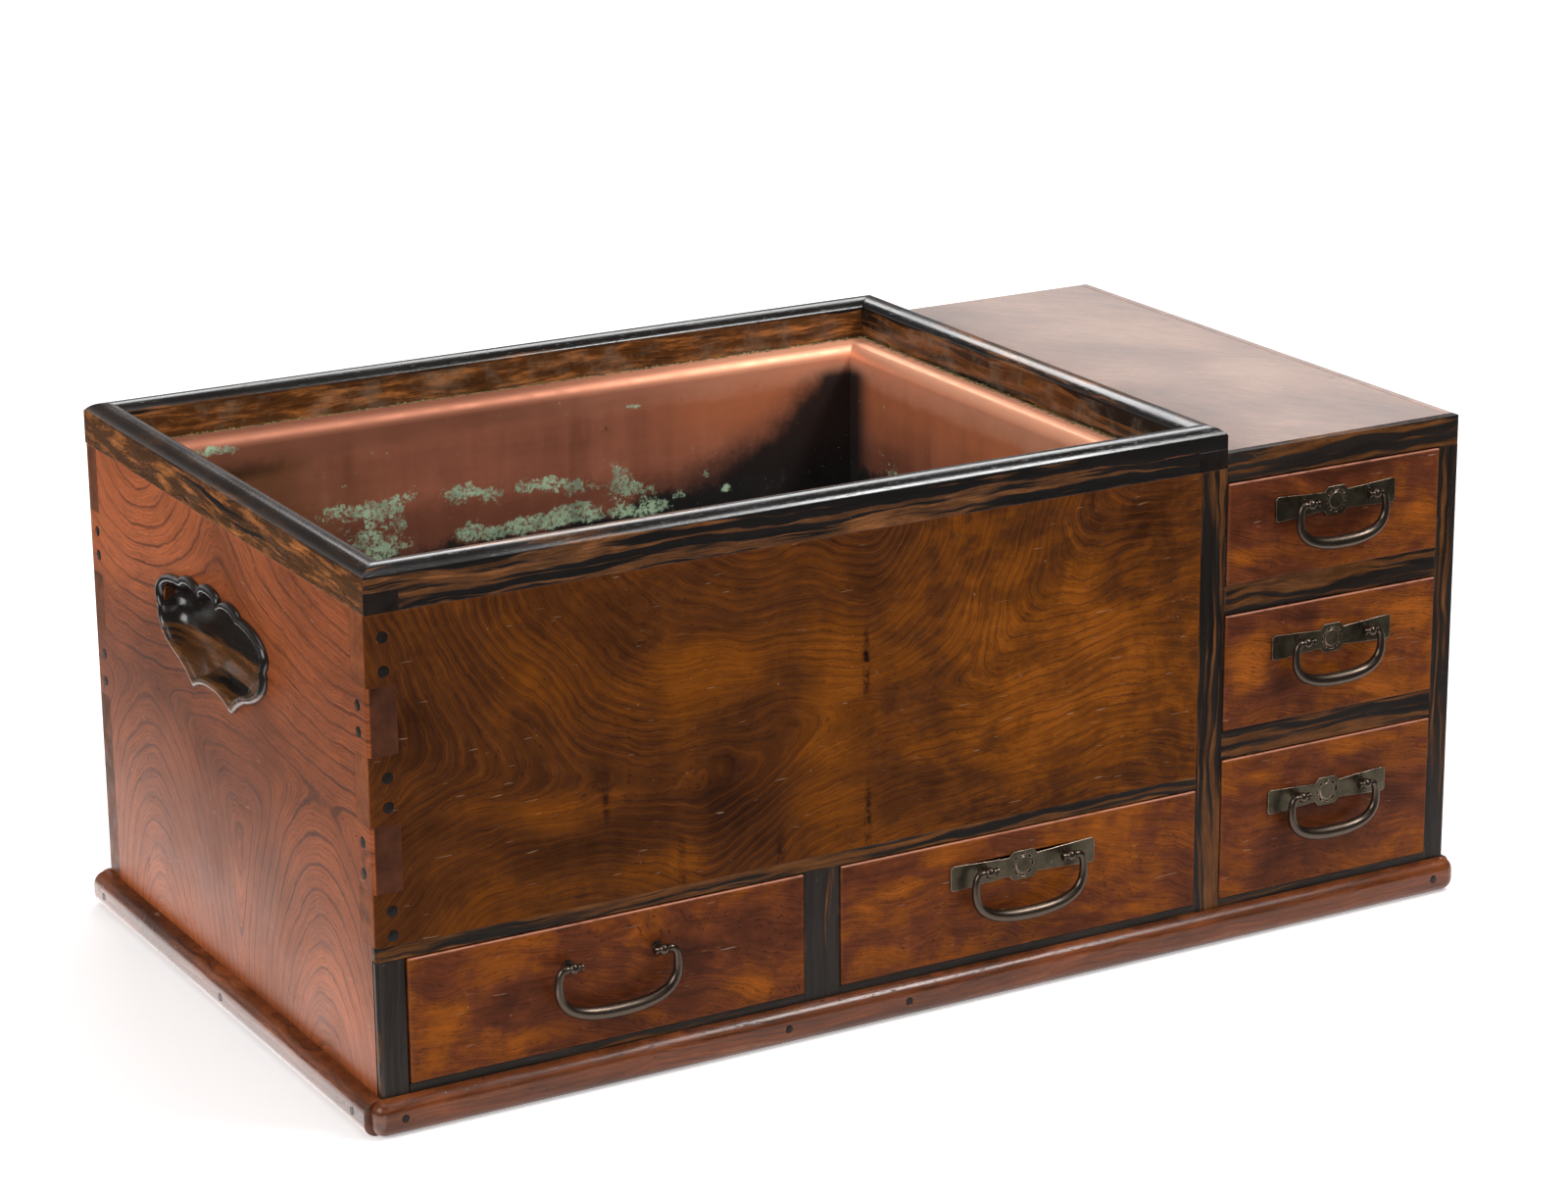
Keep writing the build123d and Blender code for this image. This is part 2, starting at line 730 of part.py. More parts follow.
# Name, left edge and width of the bay, its bottom and height, post height in it, handle, plate
drawers = (
    ("left_drawer", inner_left, left_bay_width, *lower_bay, left_post_height, large_handle, False),
    ("centre_drawer", lower_stile_right, centre_bay_width, *lower_bay, centre_post_height, large_handle, True),
    (
        "cabinet_bottom_drawer",
        partition_right,
        cabinet_bay_width,
        bottom_rail_height,
        cabinet_bottom_bay_height,
        bottom_post_height,
        small_handle,
        True,
    ),
    (
        "cabinet_middle_drawer",
        partition_right,
        cabinet_bay_width,
        middle_bay_bottom,
        cabinet_middle_bay_height,
        middle_post_height,
        small_handle,
        True,
    ),
    (
        "cabinet_top_drawer",
        partition_right,
        cabinet_bay_width,
        top_bay_bottom,
        cabinet_top_bay_height,
        top_post_height,
        small_handle,
        True,
    ),
)
for name, bay_left, bay_width, bay_bottom, bay_height, post_height, handle, has_plate in drawers:
    spacing, bail_outreach, bail_drop, plate_length, plate_below = handle
    x_middle = bay_left + bay_width / 2
    z_post = bay_bottom + post_height
    posts = post_planes(x_middle, z_post, spacing)
    make_drawer_box(name, *drawer_spans(bay_left, bay_width, bay_bottom, bay_height), posts)
    make_posts(name, posts)
    if has_plate:
        make_plate(name, x_middle, z_post - plate_below, plate_length, posts)
    make_bail(name, x_middle, z_post, spacing, bail_outreach, bail_drop)
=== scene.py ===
"""Dresses the long brazier chest: its boards, rim, moulding, pulls and copper fire box."""

import math
from functools import reduce

import bmesh
import bpy
import numpy as np
from bpy.props import FloatProperty, FloatVectorProperty, PointerProperty
from mathutils import Matrix, Vector


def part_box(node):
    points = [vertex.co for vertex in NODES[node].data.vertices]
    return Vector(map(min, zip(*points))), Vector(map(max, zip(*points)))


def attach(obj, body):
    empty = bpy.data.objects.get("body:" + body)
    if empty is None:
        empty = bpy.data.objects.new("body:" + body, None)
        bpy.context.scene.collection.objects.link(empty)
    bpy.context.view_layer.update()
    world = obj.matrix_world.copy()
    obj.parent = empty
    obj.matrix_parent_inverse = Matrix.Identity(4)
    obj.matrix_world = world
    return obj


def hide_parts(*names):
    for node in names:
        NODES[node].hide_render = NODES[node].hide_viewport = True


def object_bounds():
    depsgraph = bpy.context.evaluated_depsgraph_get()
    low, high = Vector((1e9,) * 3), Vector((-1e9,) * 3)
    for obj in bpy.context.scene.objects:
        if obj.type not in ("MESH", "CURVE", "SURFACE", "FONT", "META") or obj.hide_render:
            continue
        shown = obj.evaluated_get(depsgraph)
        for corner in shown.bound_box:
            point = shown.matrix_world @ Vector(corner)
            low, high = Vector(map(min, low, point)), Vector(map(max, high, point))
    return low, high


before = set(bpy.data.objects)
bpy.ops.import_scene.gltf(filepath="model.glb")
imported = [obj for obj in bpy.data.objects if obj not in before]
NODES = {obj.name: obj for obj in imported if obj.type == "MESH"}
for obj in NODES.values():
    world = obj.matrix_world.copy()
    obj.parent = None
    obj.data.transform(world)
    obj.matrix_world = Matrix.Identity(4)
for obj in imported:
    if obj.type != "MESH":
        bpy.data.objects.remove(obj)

bl_info = {
    "name": "Brazier Chest",
    "version": (1, 0, 0),
    "blender": (4, 5, 0),
    "location": "3D View > Sidebar > Brazier Chest",
    "description": "Dresses the boards, rim, moulding, pulls and copper fire box of a long brazier chest",
    "category": "Object",
}

CAD_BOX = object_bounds()
# The drawers, and the golden and dark places on their fronts: middle x and z, half width and height
# in mm, and strength, which is below zero for a dark place
DRAWER_FIGURE = {
    "left_drawer": (
        (-336, 66, 24, 24, 0.17), (-345, 38, 16, 14, 0.12), (-279, 35, 36, 11, 0.18),
        (-133, 42, 34, 15, 0.22), (-281, 98, 28, 7, 0.12), (-138, 100, 16, 6, 0.14),
        (-296, 63, 30, 16, -0.10), (-158, 80, 50, 18, -0.08), (-195, 66, 40, 26, -0.09),
    ),
    "centre_drawer": (
        (-60, 72, 24, 11, 0.20), (-33, 82, 26, 9, 0.20), (-7, 92, 24, 7, 0.16), (-51, 40, 32, 14, 0.15),
        (110, 94, 9, 7, 0.16), (149, 38, 28, 11, 0.08), (148, 70, 34, 18, -0.04), (56, 96, 60, 11, -0.08),
    ),
    "cabinet_bottom_drawer": (
        (313, 112, 46, 10, 0.18), (234, 107, 22, 9, 0.12), (212, 31, 16, 12, 0.12),
        (342, 72, 26, 26, -0.10), (285, 70, 110, 60, -0.08), (250, 46, 30, 16, -0.05),
    ),
    "cabinet_middle_drawer": (
        (220, 184, 24, 26, 0.26), (345, 193, 24, 22, 0.22), (312, 152, 52, 13, 0.20),
        (265, 208, 40, 8, -0.12), (250, 163, 18, 10, -0.12), (285, 190, 26, 14, -0.08),
    ),
    "cabinet_top_drawer": (
        (217, 248, 20, 10, 0.22), (348, 257, 16, 14, 0.12), (280, 299, 84, 11, -0.16),
        (281, 264, 36, 16, -0.12), (290, 272, 110, 40, -0.09), (218, 284, 14, 10, 0.04),
    ),
}
# Pale green marks on the liner's back wall, in the same terms. Each fades out somewhat farther than its size.
TIDE_MARKS = (
    (-195, 248, 15, 8, 1.0), (-175, 252, 11, 6, 0.8), (-134, 250, 12, 8, 1.1), (-114, 247, 11, 7, 0.9),
    (-76, 247, 22, 6, 1.0), (-48, 242, 15, 7, 0.9), (-18, 245, 11, 10, 0.8), (-9, 234, 17, 8, 0.9),
    (-128, 225, 10, 6, 0.9), (-106, 220, 34, 6, 1.2), (-68, 222, 26, 7, 1.4), (-49, 226, 14, 6, 1.1),
    (-35, 220, 11, 6, 1.0), (-17, 220, 11, 6, 0.9), (7, 218, 17, 7, 1.1), (-191, 231, 26, 14, 0.75),
    (-192, 217, 18, 9, 0.75), (30, 225, 6, 4, 0.8), (63, 224, 6, 4, 0.7), (51, 236, 6, 4, 0.6),
    (-305, 303, 22, 4, 1.0), (-222, 249, 15, 8, 0.8), (-5, 291, 8, 2, 0.8),
)
# Wooden plugs along the edges of the cabinet's top: x and y in mm, and the height of that top
TOP_PLUGS = ((288, 210), (366, 97), (368, 4), (369, -92), (343, -161))
TOP_HEIGHT = 0.3196
# How far the middles of the liner's walls and bottom lie inside its box, and how deep its shoulder is
LINER_WALLS = (0.01745, 0.01445, 0.00075)
LINER_SHOULDER = 0.012
# Height of the rim's rounded crown, and the depth of the side pull's back behind the panel's face
CROWN_HEIGHT = 0.0065
PULL_DEPTH = 0.0175
# How far the floor lies below the chest, so that the two don't flicker
FLOOR_GAP = 0.0003
# Where the camera stands, and its yaw, pitch and roll in degrees
CAMERA_PLACE = (-1.27685, -2.2644, 1.0171)
CAMERA_TURN = (29.585, 17.367, -0.465)
# Lamps: name, place, target, width and length, power in watts
LAMPS = (
    ("back_softbox", (1.5, 2.3, 2.4), (0.15, 0.0, 0.3), (2.6, 1.2), 54.0),
    ("top_softbox", (-0.3, -0.1, 2.6), (0.0, 0.0, 0.2), (1.8, 1.4), 14.0),
    ("streak_softbox", (1.41, -1.23, 2.43), (0.06, -0.2, 0.33), (0.45, 1.3), 42.0),
    ("left_softbox", (-2.6, -1.0, 1.7), (-0.3, 0.0, 0.2), (1.6, 1.8), 46.0),
    ("front_softbox", (1.0, -2.8, 1.9), (0.1, 0.0, 0.2), (1.8, 1.4), 4.0),
)


def linear(value):
    """One channel of a display colour as linear light."""
    value /= 255
    return value / 12.92 if value <= 0.04045 else ((value + 0.055) / 1.055) ** 2.4


def shade(red, green, blue):
    """A display colour, 0 to 255, as the linear colour that a shader takes."""
    return (linear(red), linear(green), linear(blue), 1.0)


def grey(level):
    return (level, level, level, 1.0)


def colour_setting(name, description, display):
    return FloatVectorProperty(
        name=name, description=description, subtype="COLOR", size=4, min=0, max=1, default=shade(*display)
    )


def length_setting(name, description, metres):
    return FloatProperty(name=name, description=description, default=metres, unit="LENGTH", precision=5)


class ChestSizes(bpy.types.PropertyGroup):
    board_edge: length_setting("Board edge", "Rounding worn into the edges of the boards", 0.0005)
    joint_edge: length_setting("Joint edge", "Rounding of the edges along the finger joints", 0.00022)
    peg_dome: length_setting("Peg dome", "How far the pegs stand out of the boards", 0.00025)
    crust_lump: length_setting("Crust lump", "Radius of the corrosion lumps round the liner", 0.0011)
    lens: FloatProperty(name="Lens", description="Focal length on a 36 mm sensor, in mm", default=97.97)


class ChestColours(bpy.types.PropertyGroup):
    side_wood: colour_setting("Side wood", "Main colour of the reddish side panels", (150, 79, 42))
    front_wood: colour_setting("Front wood", "Main colour of the figured front panel", (84, 44, 15))
    front_glow: colour_setting("Front glow", "Golden bands in the front panel", (115, 61, 10))
    drawer_wood: colour_setting("Drawer wood", "Main colour of the drawer fronts", (102, 50, 24))
    drawer_glow: colour_setting("Drawer glow", "Golden places in the drawer fronts", (138, 72, 14))
    ebony: colour_setting("Ebony", "Dark streaks of the striped facings and rim", (30, 25, 22))
    ebony_streak: colour_setting("Ebony streak", "Brown streaks of the striped facings and rim", (98, 59, 27))
    moulding_wood: colour_setting("Moulding wood", "Main colour of the base moulding", (114, 59, 29))
    copper: colour_setting("Copper", "Clean copper on the liner's shoulder", (240, 164, 130))
    copper_stain: colour_setting("Stained copper", "Red-brown copper on the liner's walls", (168, 103, 78))
    verdigris: colour_setting("Verdigris", "Pale green corrosion in the liner", (164, 190, 158))
    bronze: colour_setting("Bronze", "Dark metal of the plates", (92, 84, 68))
    bail_bronze: colour_setting("Bail bronze", "Rubbed metal of the bails and posts", (90, 78, 68))


def sizes():
    return bpy.context.scene.chest_sizes


def colours():
    return bpy.context.scene.chest_colours


def tone(colour, factor):
    """A lighter or darker version of a colour."""
    return tuple(min(channel * factor, 1.0) for channel in colour[:3]) + (1.0,)


def tones_of(colour, *factors):
    return tuple(tone(colour, factor) for factor in factors)


def spots_at(shift, *rows):
    """Soft ellipses in the grain's directions: rows of middle, half width and height in mm, and strength."""
    return tuple(
        ((x / 1000 + shift[0], z / 1000 + shift[1], 0.0), (wide / 1000, high / 1000, 1.0), strength)
        for x, z, wide, high, strength in rows
    )


def centres_at(bottom, *rows):
    """Growth centres: rows of a place in mm, how much each direction counts, and the first ring's size."""
    return tuple(
        ((x / 1000, z / 1000 - bottom, 0.0), (along, across, 0.6), start)
        for x, z, along, across, start in rows
    )


# Surface finishes


class Flow:
    """A value on its way through a node tree. Sums of flows become nodes of their own."""

    def __init__(self, net, socket):
        self.net, self.socket = net, socket

    def worked(self, operation, *pair):
        kind = "ShaderNodeMath" if self.socket.type == "VALUE" else "ShaderNodeVectorMath"
        return self.net.add(kind, dict(enumerate(pair)), operation=operation)

    def __add__(self, other):
        return self.worked("ADD", self, other)

    def __radd__(self, other):
        return self.worked("ADD", other, self)

    def __sub__(self, other):
        return self.worked("SUBTRACT", self, other)

    def __rsub__(self, other):
        return self.worked("SUBTRACT", other, self)

    def __mul__(self, other):
        return self.worked("MULTIPLY", self, other)

    def __truediv__(self, other):
        return self.worked("DIVIDE", self, other)


class Net:
    """A node tree, built node by node."""

    def __init__(self, tree):
        self.tree = tree

    def feed(self, node, inputs):
        for key, value in inputs.items():
            if isinstance(value, Flow):
                self.tree.links.new(value.socket, node.inputs[key])
            else:
                node.inputs[key].default_value = value

    def node(self, kind, inputs=None, **settings):
        node = self.tree.nodes.new(kind)
        for key, value in settings.items():
            setattr(node, key, value)
        self.feed(node, inputs or {})
        return node

    def out(self, node, name=0):
        return Flow(self, node.outputs[name])

    def add(self, kind, inputs=None, out=0, **settings):
        return self.out(self.node(kind, inputs, **settings), out)

    def math(self, operation, *values):
        return self.add("ShaderNodeMath", dict(enumerate(values)), operation=operation)

    def least(self, *values):
        return reduce(lambda a, b: self.math("MINIMUM", a, b), values)

    def most(self, *values):
        return reduce(lambda a, b: self.math("MAXIMUM", a, b), values)

    def length(self, vector):
        return self.add("ShaderNodeVectorMath", {0: vector}, "Value", operation="LENGTH")

    def attribute(self, name, out="Vector"):
        return self.add("ShaderNodeAttribute", {}, out, attribute_name=name)

    def place(self, kind="Object"):
        return self.add("ShaderNodeTexCoord", {}, kind)

    def parts(self, vector):
        node = self.node("ShaderNodeSeparateXYZ", {0: vector})
        return [self.out(node, axis) for axis in range(3)]

    def join(self, x, y, z):
        return self.add("ShaderNodeCombineXYZ", {0: x, 1: y, 2: z})

    def noise(self, vector, scale, detail=2.0, roughness=0.5, out="Fac"):
        inputs = {"Vector": vector, "Scale": scale, "Detail": detail, "Roughness": roughness}
        return self.add("ShaderNodeTexNoise", inputs, out)

    def ease(self, value, start, end, low=0.0, high=1.0):
        """A smooth step from low at start to high at end."""
        inputs = {"Value": value, "From Min": start, "From Max": end, "To Min": low, "To Max": high}
        return self.add("ShaderNodeMapRange", inputs, interpolation_type="SMOOTHSTEP")

    def ramp(self, factor, *stops):
        node = self.node("ShaderNodeValToRGB", {0: factor})
        elements = node.color_ramp.elements
        while len(elements) < len(stops):
            elements.new(0.5)
        for element, (position, colour) in zip(elements, stops):
            element.position = position
            element.color = colour
        return self.out(node)

    def tones(self, factor, colour, *stops):
        """A ramp over tones of one colour, each with its place."""
        return self.ramp(factor, *((position, tone(colour, amount)) for position, amount in stops))

    def mix(self, factor, a, b, blend="MIX"):
        return self.add("ShaderNodeMix", {0: factor, 6: a, 7: b}, 2, data_type="RGBA", blend_type=blend)

    def bump(self, height, strength, distance):
        inputs = {"Height": height, "Strength": strength, "Distance": distance}
        return self.add("ShaderNodeBump", inputs, "Normal")


class Finish(Net):
    """One surface finish, painted layer over layer."""

    def __init__(self, name, **uniform):
        self.material = bpy.data.materials.new(name)
        self.material.use_nodes = True
        super().__init__(self.material.node_tree)
        self.colour = None
        self.finish(**uniform)

    def paint(self, share, colour, blend="MIX"):
        self.colour = self.mix(share, self.colour, colour, blend)

    def finish(self, **inputs):
        shader = self.tree.nodes["Principled BSDF"]
        self.feed(shader, {key.replace("_", " "): value for key, value in inputs.items()})
        return self.material


def depth_inside(f, low, high):
    """How far a place lies inside a box, in each direction."""
    place = f.place()
    above = f.add("ShaderNodeVectorMath", {0: high, 1: place}, operation="SUBTRACT")
    return f.add("ShaderNodeVectorMath", {0: place - low, 1: above}, operation="MINIMUM")


def edge_closeness(f, reach):
    """1 on a board's edges, falling to 0 at the given distance from them."""
    # The two smallest of the three depths tell how near the nearest edge is
    x, y, z = f.parts(depth_inside(f, f.attribute("low"), f.attribute("high")))
    return f.ease(x + y + z - f.most(x, y, z), 0.0, reach, 1.0, 0.0)


def top_line(f, reach):
    """1 along the upper front edge of a board, falling to 0 at the given distance from it."""
    behind = f.parts(f.place() - f.attribute("low"))[1]
    below = f.parts(f.attribute("high") - f.place())[2]
    return f.ease(behind + below, 0.0, reach, 1.0, 0.0)


def near_spots(f, place, spots):
    """How strongly a place lies in any of the given soft ellipses: centre, radii, strength."""
    reach = 0.0
    for centre, radii, strength in spots:
        reach = reach + f.ease(f.length((place - centre) / radii), 0.1, 1.0, strength, 0.0)
    return reach


def stirred(f, grain, source, scale, detail, roughness, amounts):
    """The grain's place, shifted here and there so that lines bend."""
    return grain + (f.noise(source, scale, detail, roughness, "Color") - (0.5, 0.5, 0.5)) * amounts


def growth(f, grain, place, centres, merge, wobble):
    """Distance from the nearest growth centres."""
    level = None
    for centre, squeeze, start in centres:
        away = f.length((place - centre) * squeeze) - start
        level = away if level is None else f.math("SMOOTH_MIN", level, away, merge)
    return level + (f.noise(grain, 32.0, 3.0, 0.55) - 0.5) * wobble


def wood(
    name, tones, line, centres, merge=0.04, swirl=0.05, swirl_scale=5.0, wobble=0.006, rings=95.0,
    ring_strength=0.5, ring_width=0.4, bands=14.0, contrast=1.0, mottle=0.0, curl=0.0, curl_reach=None,
    pale_lines=0.0, calm=0.25, pores=0.45, spots=(), stains=(), plugs=(), edge=(0.0, None), upper_edge_highlight=None,
    roughness=(0.3, 0.48), gloss=0.1, dust=0.0, bump=0.35,
):
    """Figured wood, read from each board's own grain directions: x along, y across, z through."""
    f = Finish(name, Specular_IOR_Level=gloss, Sheen_Weight=dust, Sheen_Roughness=0.4)
    grain = f.attribute("grain")
    place = stirred(f, grain, grain, swirl_scale, 2.0, 0.5, (swirl,) * 3)
    level = growth(f, grain, place, centres, merge, wobble)
    x, y = f.parts(place)[:2]

    def along_rings(across, deep, *fine):
        return f.noise(f.join(x * across, y * across, level * deep), 1.0, *fine)

    # Broad light and dark figure, richer where the board has its golden places
    amount = along_rings(9.0, bands, 5.0, 0.62) * contrast + (0.5 - 0.5 * contrast)
    if mottle:
        ripple = f.noise(grain * (42.0, 11.0, 10.0), 1.0, 3.0, 0.6)
        amount = amount + (ripple - 0.5) * mottle
    if curl:
        blotch = f.noise(place * (34.0, 58.0, 40.0), 1.0, 7.0, 0.64)
        curled = f.ease(blotch, 0.40, 0.60, -curl, curl)
        if curl_reach:
            curled = curled * f.ease(x, *curl_reach, 0.3, 1.0)
        amount = amount + curled
    amount = amount + near_spots(f, place, spots) + f.attribute("warmth", "Fac")
    f.colour = f.ramp(amount, *zip((0.30, 0.46, 0.60, 0.76), tones))

    # Growth lines, sharp on one side and soft on the other
    turn = f.math("FRACT", level * rings)
    band = f.ease(turn, 0.0, 0.07) * f.ease(turn, 0.1, ring_width, 1.0, 0.0)
    patchy = f.ease(f.noise(grain, 7.0, 4.0, 0.6), 0.38, 0.6, calm, 1.0)
    ring = band * patchy * ring_strength
    f.paint(ring, line)
    if pale_lines:
        pale = f.ease(turn, 0.55, 0.68) * f.ease(turn, 0.72, 0.85, pale_lines, 0.0)
        f.paint(pale * patchy, tone(tones[3], 1.2))
    tight = f.math("FRACT", level * (rings * 5.3))
    f.paint(f.ease(tight, 0.2, 0.9, 0.22, 0.0) * patchy, line)

    # Pores and fibres
    pore = f.ease(along_rings(230.0, 1500.0, 2.0, 0.6), 0.60, 0.70)
    f.paint(pore * pores, tone(line, 0.5))
    fibre = along_rings(34.0, 700.0, 3.0, 0.65)
    f.paint(0.6, f.ramp(fibre, (0.28, grey(0.45)), (0.72, grey(1.5))), "MULTIPLY")

    if stains:
        drip = near_spots(f, grain, stains) * f.ease(f.noise(grain, 160.0, 4.0, 0.7), 0.38, 0.6)
        f.paint(drip, tone(line, 0.4))
    if plugs:
        f.paint(near_spots(f, f.place(), plugs), tone(line, 0.6))
    rub, rub_colour = edge
    if rub_colour:
        worn = edge_closeness(f, 0.0022) * f.ease(f.noise(grain, 70.0, 4.0), 0.3, 0.6)
        f.paint(worn * rub, rub_colour)
    # Painted highlight: a light line along the upper front edge, standing in for the light that edge catches
    if upper_edge_highlight:
        worn = top_line(f, 0.0013) * f.ease(f.noise(grain, 90.0, 3.0), 0.3, 0.5, 0.45, 0.95)
        f.paint(worn, upper_edge_highlight)
    specks = f.ease(f.noise(f.place(), 260.0, 2.0, 0.7), 0.75, 0.79)
    scratches = f.ease(f.noise(f.place() * (60.0, 60.0, 700.0), 1.0, 1.0), 0.76, 0.8)
    f.paint(f.most(specks, scratches) * 0.3, shade(190, 165, 140))

    rough = f.ease(f.noise(grain, 9.0, 4.0, 0.6), 0.3, 0.7, *roughness) + pore * 0.2
    height = fibre * 0.5 - pore * 0.9 - ring * 0.5
    return f.finish(Base_Color=f.colour, Roughness=rough, Normal=f.bump(height, bump, 0.0002))


def ebony(
    name, brown=0.5, tan=0.3, gloss=0.15, crown=None, pitch=0.006, wave=0.05, dusty=None,
    roughness=(0.24, 0.42), lift=1.0, painted_shade_above=None,
):
    """Near-black wood with wavy brown stripes, black above the crown's height except on warm boards."""
    c = colours()
    f = Finish(name, Specular_IOR_Level=gloss)
    grain = f.attribute("grain")
    place = stirred(f, grain, grain * (0.35, 1.0, 1.0), 26.0, 3.0, 0.55, (0.0, 0.018, 0.018))
    x, y, z = f.parts(place)
    level = y + z * 0.45

    def streaks(along, deep, *fine):
        return f.noise(f.join(x * along, 0.0, level * deep), 1.0, *fine)

    # Broad flames, cut by thin stripes where they are neither all black nor all brown
    ripple = f.math("SINE", level * (math.tau / pitch))
    stripe = (streaks(9.0, 190.0, 3.0, 0.6) - 0.5) * 0.75 + (ripple * wave + streaks(5.0, 62.0, 3.0, 0.55))
    stripe = (streaks(18.0, 520.0, 4.0, 0.65) - 0.5) * 0.3 + stripe
    stripe = f.attribute("warmth", "Fac") * 0.12 + stripe
    # Painted shade: above these heights the stripes turn black, and below them browner, as light falls in a
    # hollow
    if painted_shade_above:
        start, end = painted_shade_above
        stripe = stripe + f.ease(f.parts(f.place())[2], start, end, 0.22, -0.16)
    stops = ((0.32, 0.5), (0.50, 1.0), (0.68, 1.0 + 2.0 * tan))
    browns = f.tones(streaks(26.0, 170.0, 4.0, 0.65), c.ebony_streak, *stops)
    middle = 0.62 - 0.24 * brown
    dark = tone(c.ebony, lift)
    blacks = f.tones(streaks(9.0, 240.0, 3.0, 0.6), dark, (0.35, 0.7), (0.65, 1.5))
    f.colour = f.mix(f.ease(stripe, middle - 0.05, middle + 0.07), blacks, browns)
    threads = streaks(16.0, 620.0, 3.0, 0.6)
    f.paint(f.ease(threads, 0.50, 0.68, 0.0, 0.5), tone(dark, 0.6))
    pore = f.ease(streaks(130.0, 1500.0, 2.0), 0.60, 0.74)
    f.paint(pore * 0.5, tone(dark, 0.4))
    if crown is not None:
        height = (f.noise(grain * (9.0, 30.0, 30.0), 1.0, 4.0) - 0.5) * 0.008 + f.parts(f.place())[2]
        black = f.ease(height, crown, crown + 0.003) * f.ease(0.95 - f.attribute("warmth", "Fac"), 0.0, 1.0)
        f.paint(black, tone(dark, 0.9))
    if dusty:
        # Ash and dust have greyed the faces inside this box
        inside = f.ease(f.least(*f.parts(depth_inside(f, *dusty))), -0.0001, 0.0001)
        ash = f.ease(f.noise(f.place(), 40.0, 5.0, 0.65), 0.45, 0.70, 0.0, 0.35)
        f.paint(inside * ash, shade(146, 128, 108))
    worn = edge_closeness(f, 0.0018) * f.ease(f.noise(grain, 45.0, 4.0), 0.45, 0.7)
    f.paint(worn * 0.4, shade(128, 84, 50))
    scuffs = f.ease(f.noise(f.place(), 300.0, 2.0, 0.7), 0.75, 0.79)
    f.paint(scuffs * 0.35, shade(180, 165, 150))
    rough = f.ease(f.noise(grain, 14.0, 4.0), 0.3, 0.7, *roughness)
    ripples = f.noise(grain * (170.0, 25.0, 25.0), 1.0, 2.0)
    height = ripples * 0.8 + threads * 0.4 - pore
    return f.finish(Base_Color=f.colour, Roughness=rough, Normal=f.bump(height, 0.3, 0.00015))


def end_grain(name, colour):
    """The cut ends of the joint fingers."""
    f = Finish(name, Specular_IOR_Level=0.1)
    place = f.place()
    figure = f.noise(place * (60.0, 60.0, 60.0), 1.0, 4.0, 0.65)
    f.colour = f.tones(figure, colour, (0.3, 0.5), (0.5, 1.0), (0.7, 1.4))
    dots = f.noise(place, 1500.0, 2.0)
    f.paint(f.ease(dots, 0.55, 0.7, 0.0, 0.6), tone(colour, 0.3))
    rough = f.ease(f.noise(place, 90.0, 3.0), 0.3, 0.7, 0.35, 0.5)
    return f.finish(Base_Color=f.colour, Roughness=rough, Normal=f.bump(dots, 0.2, 0.0002))


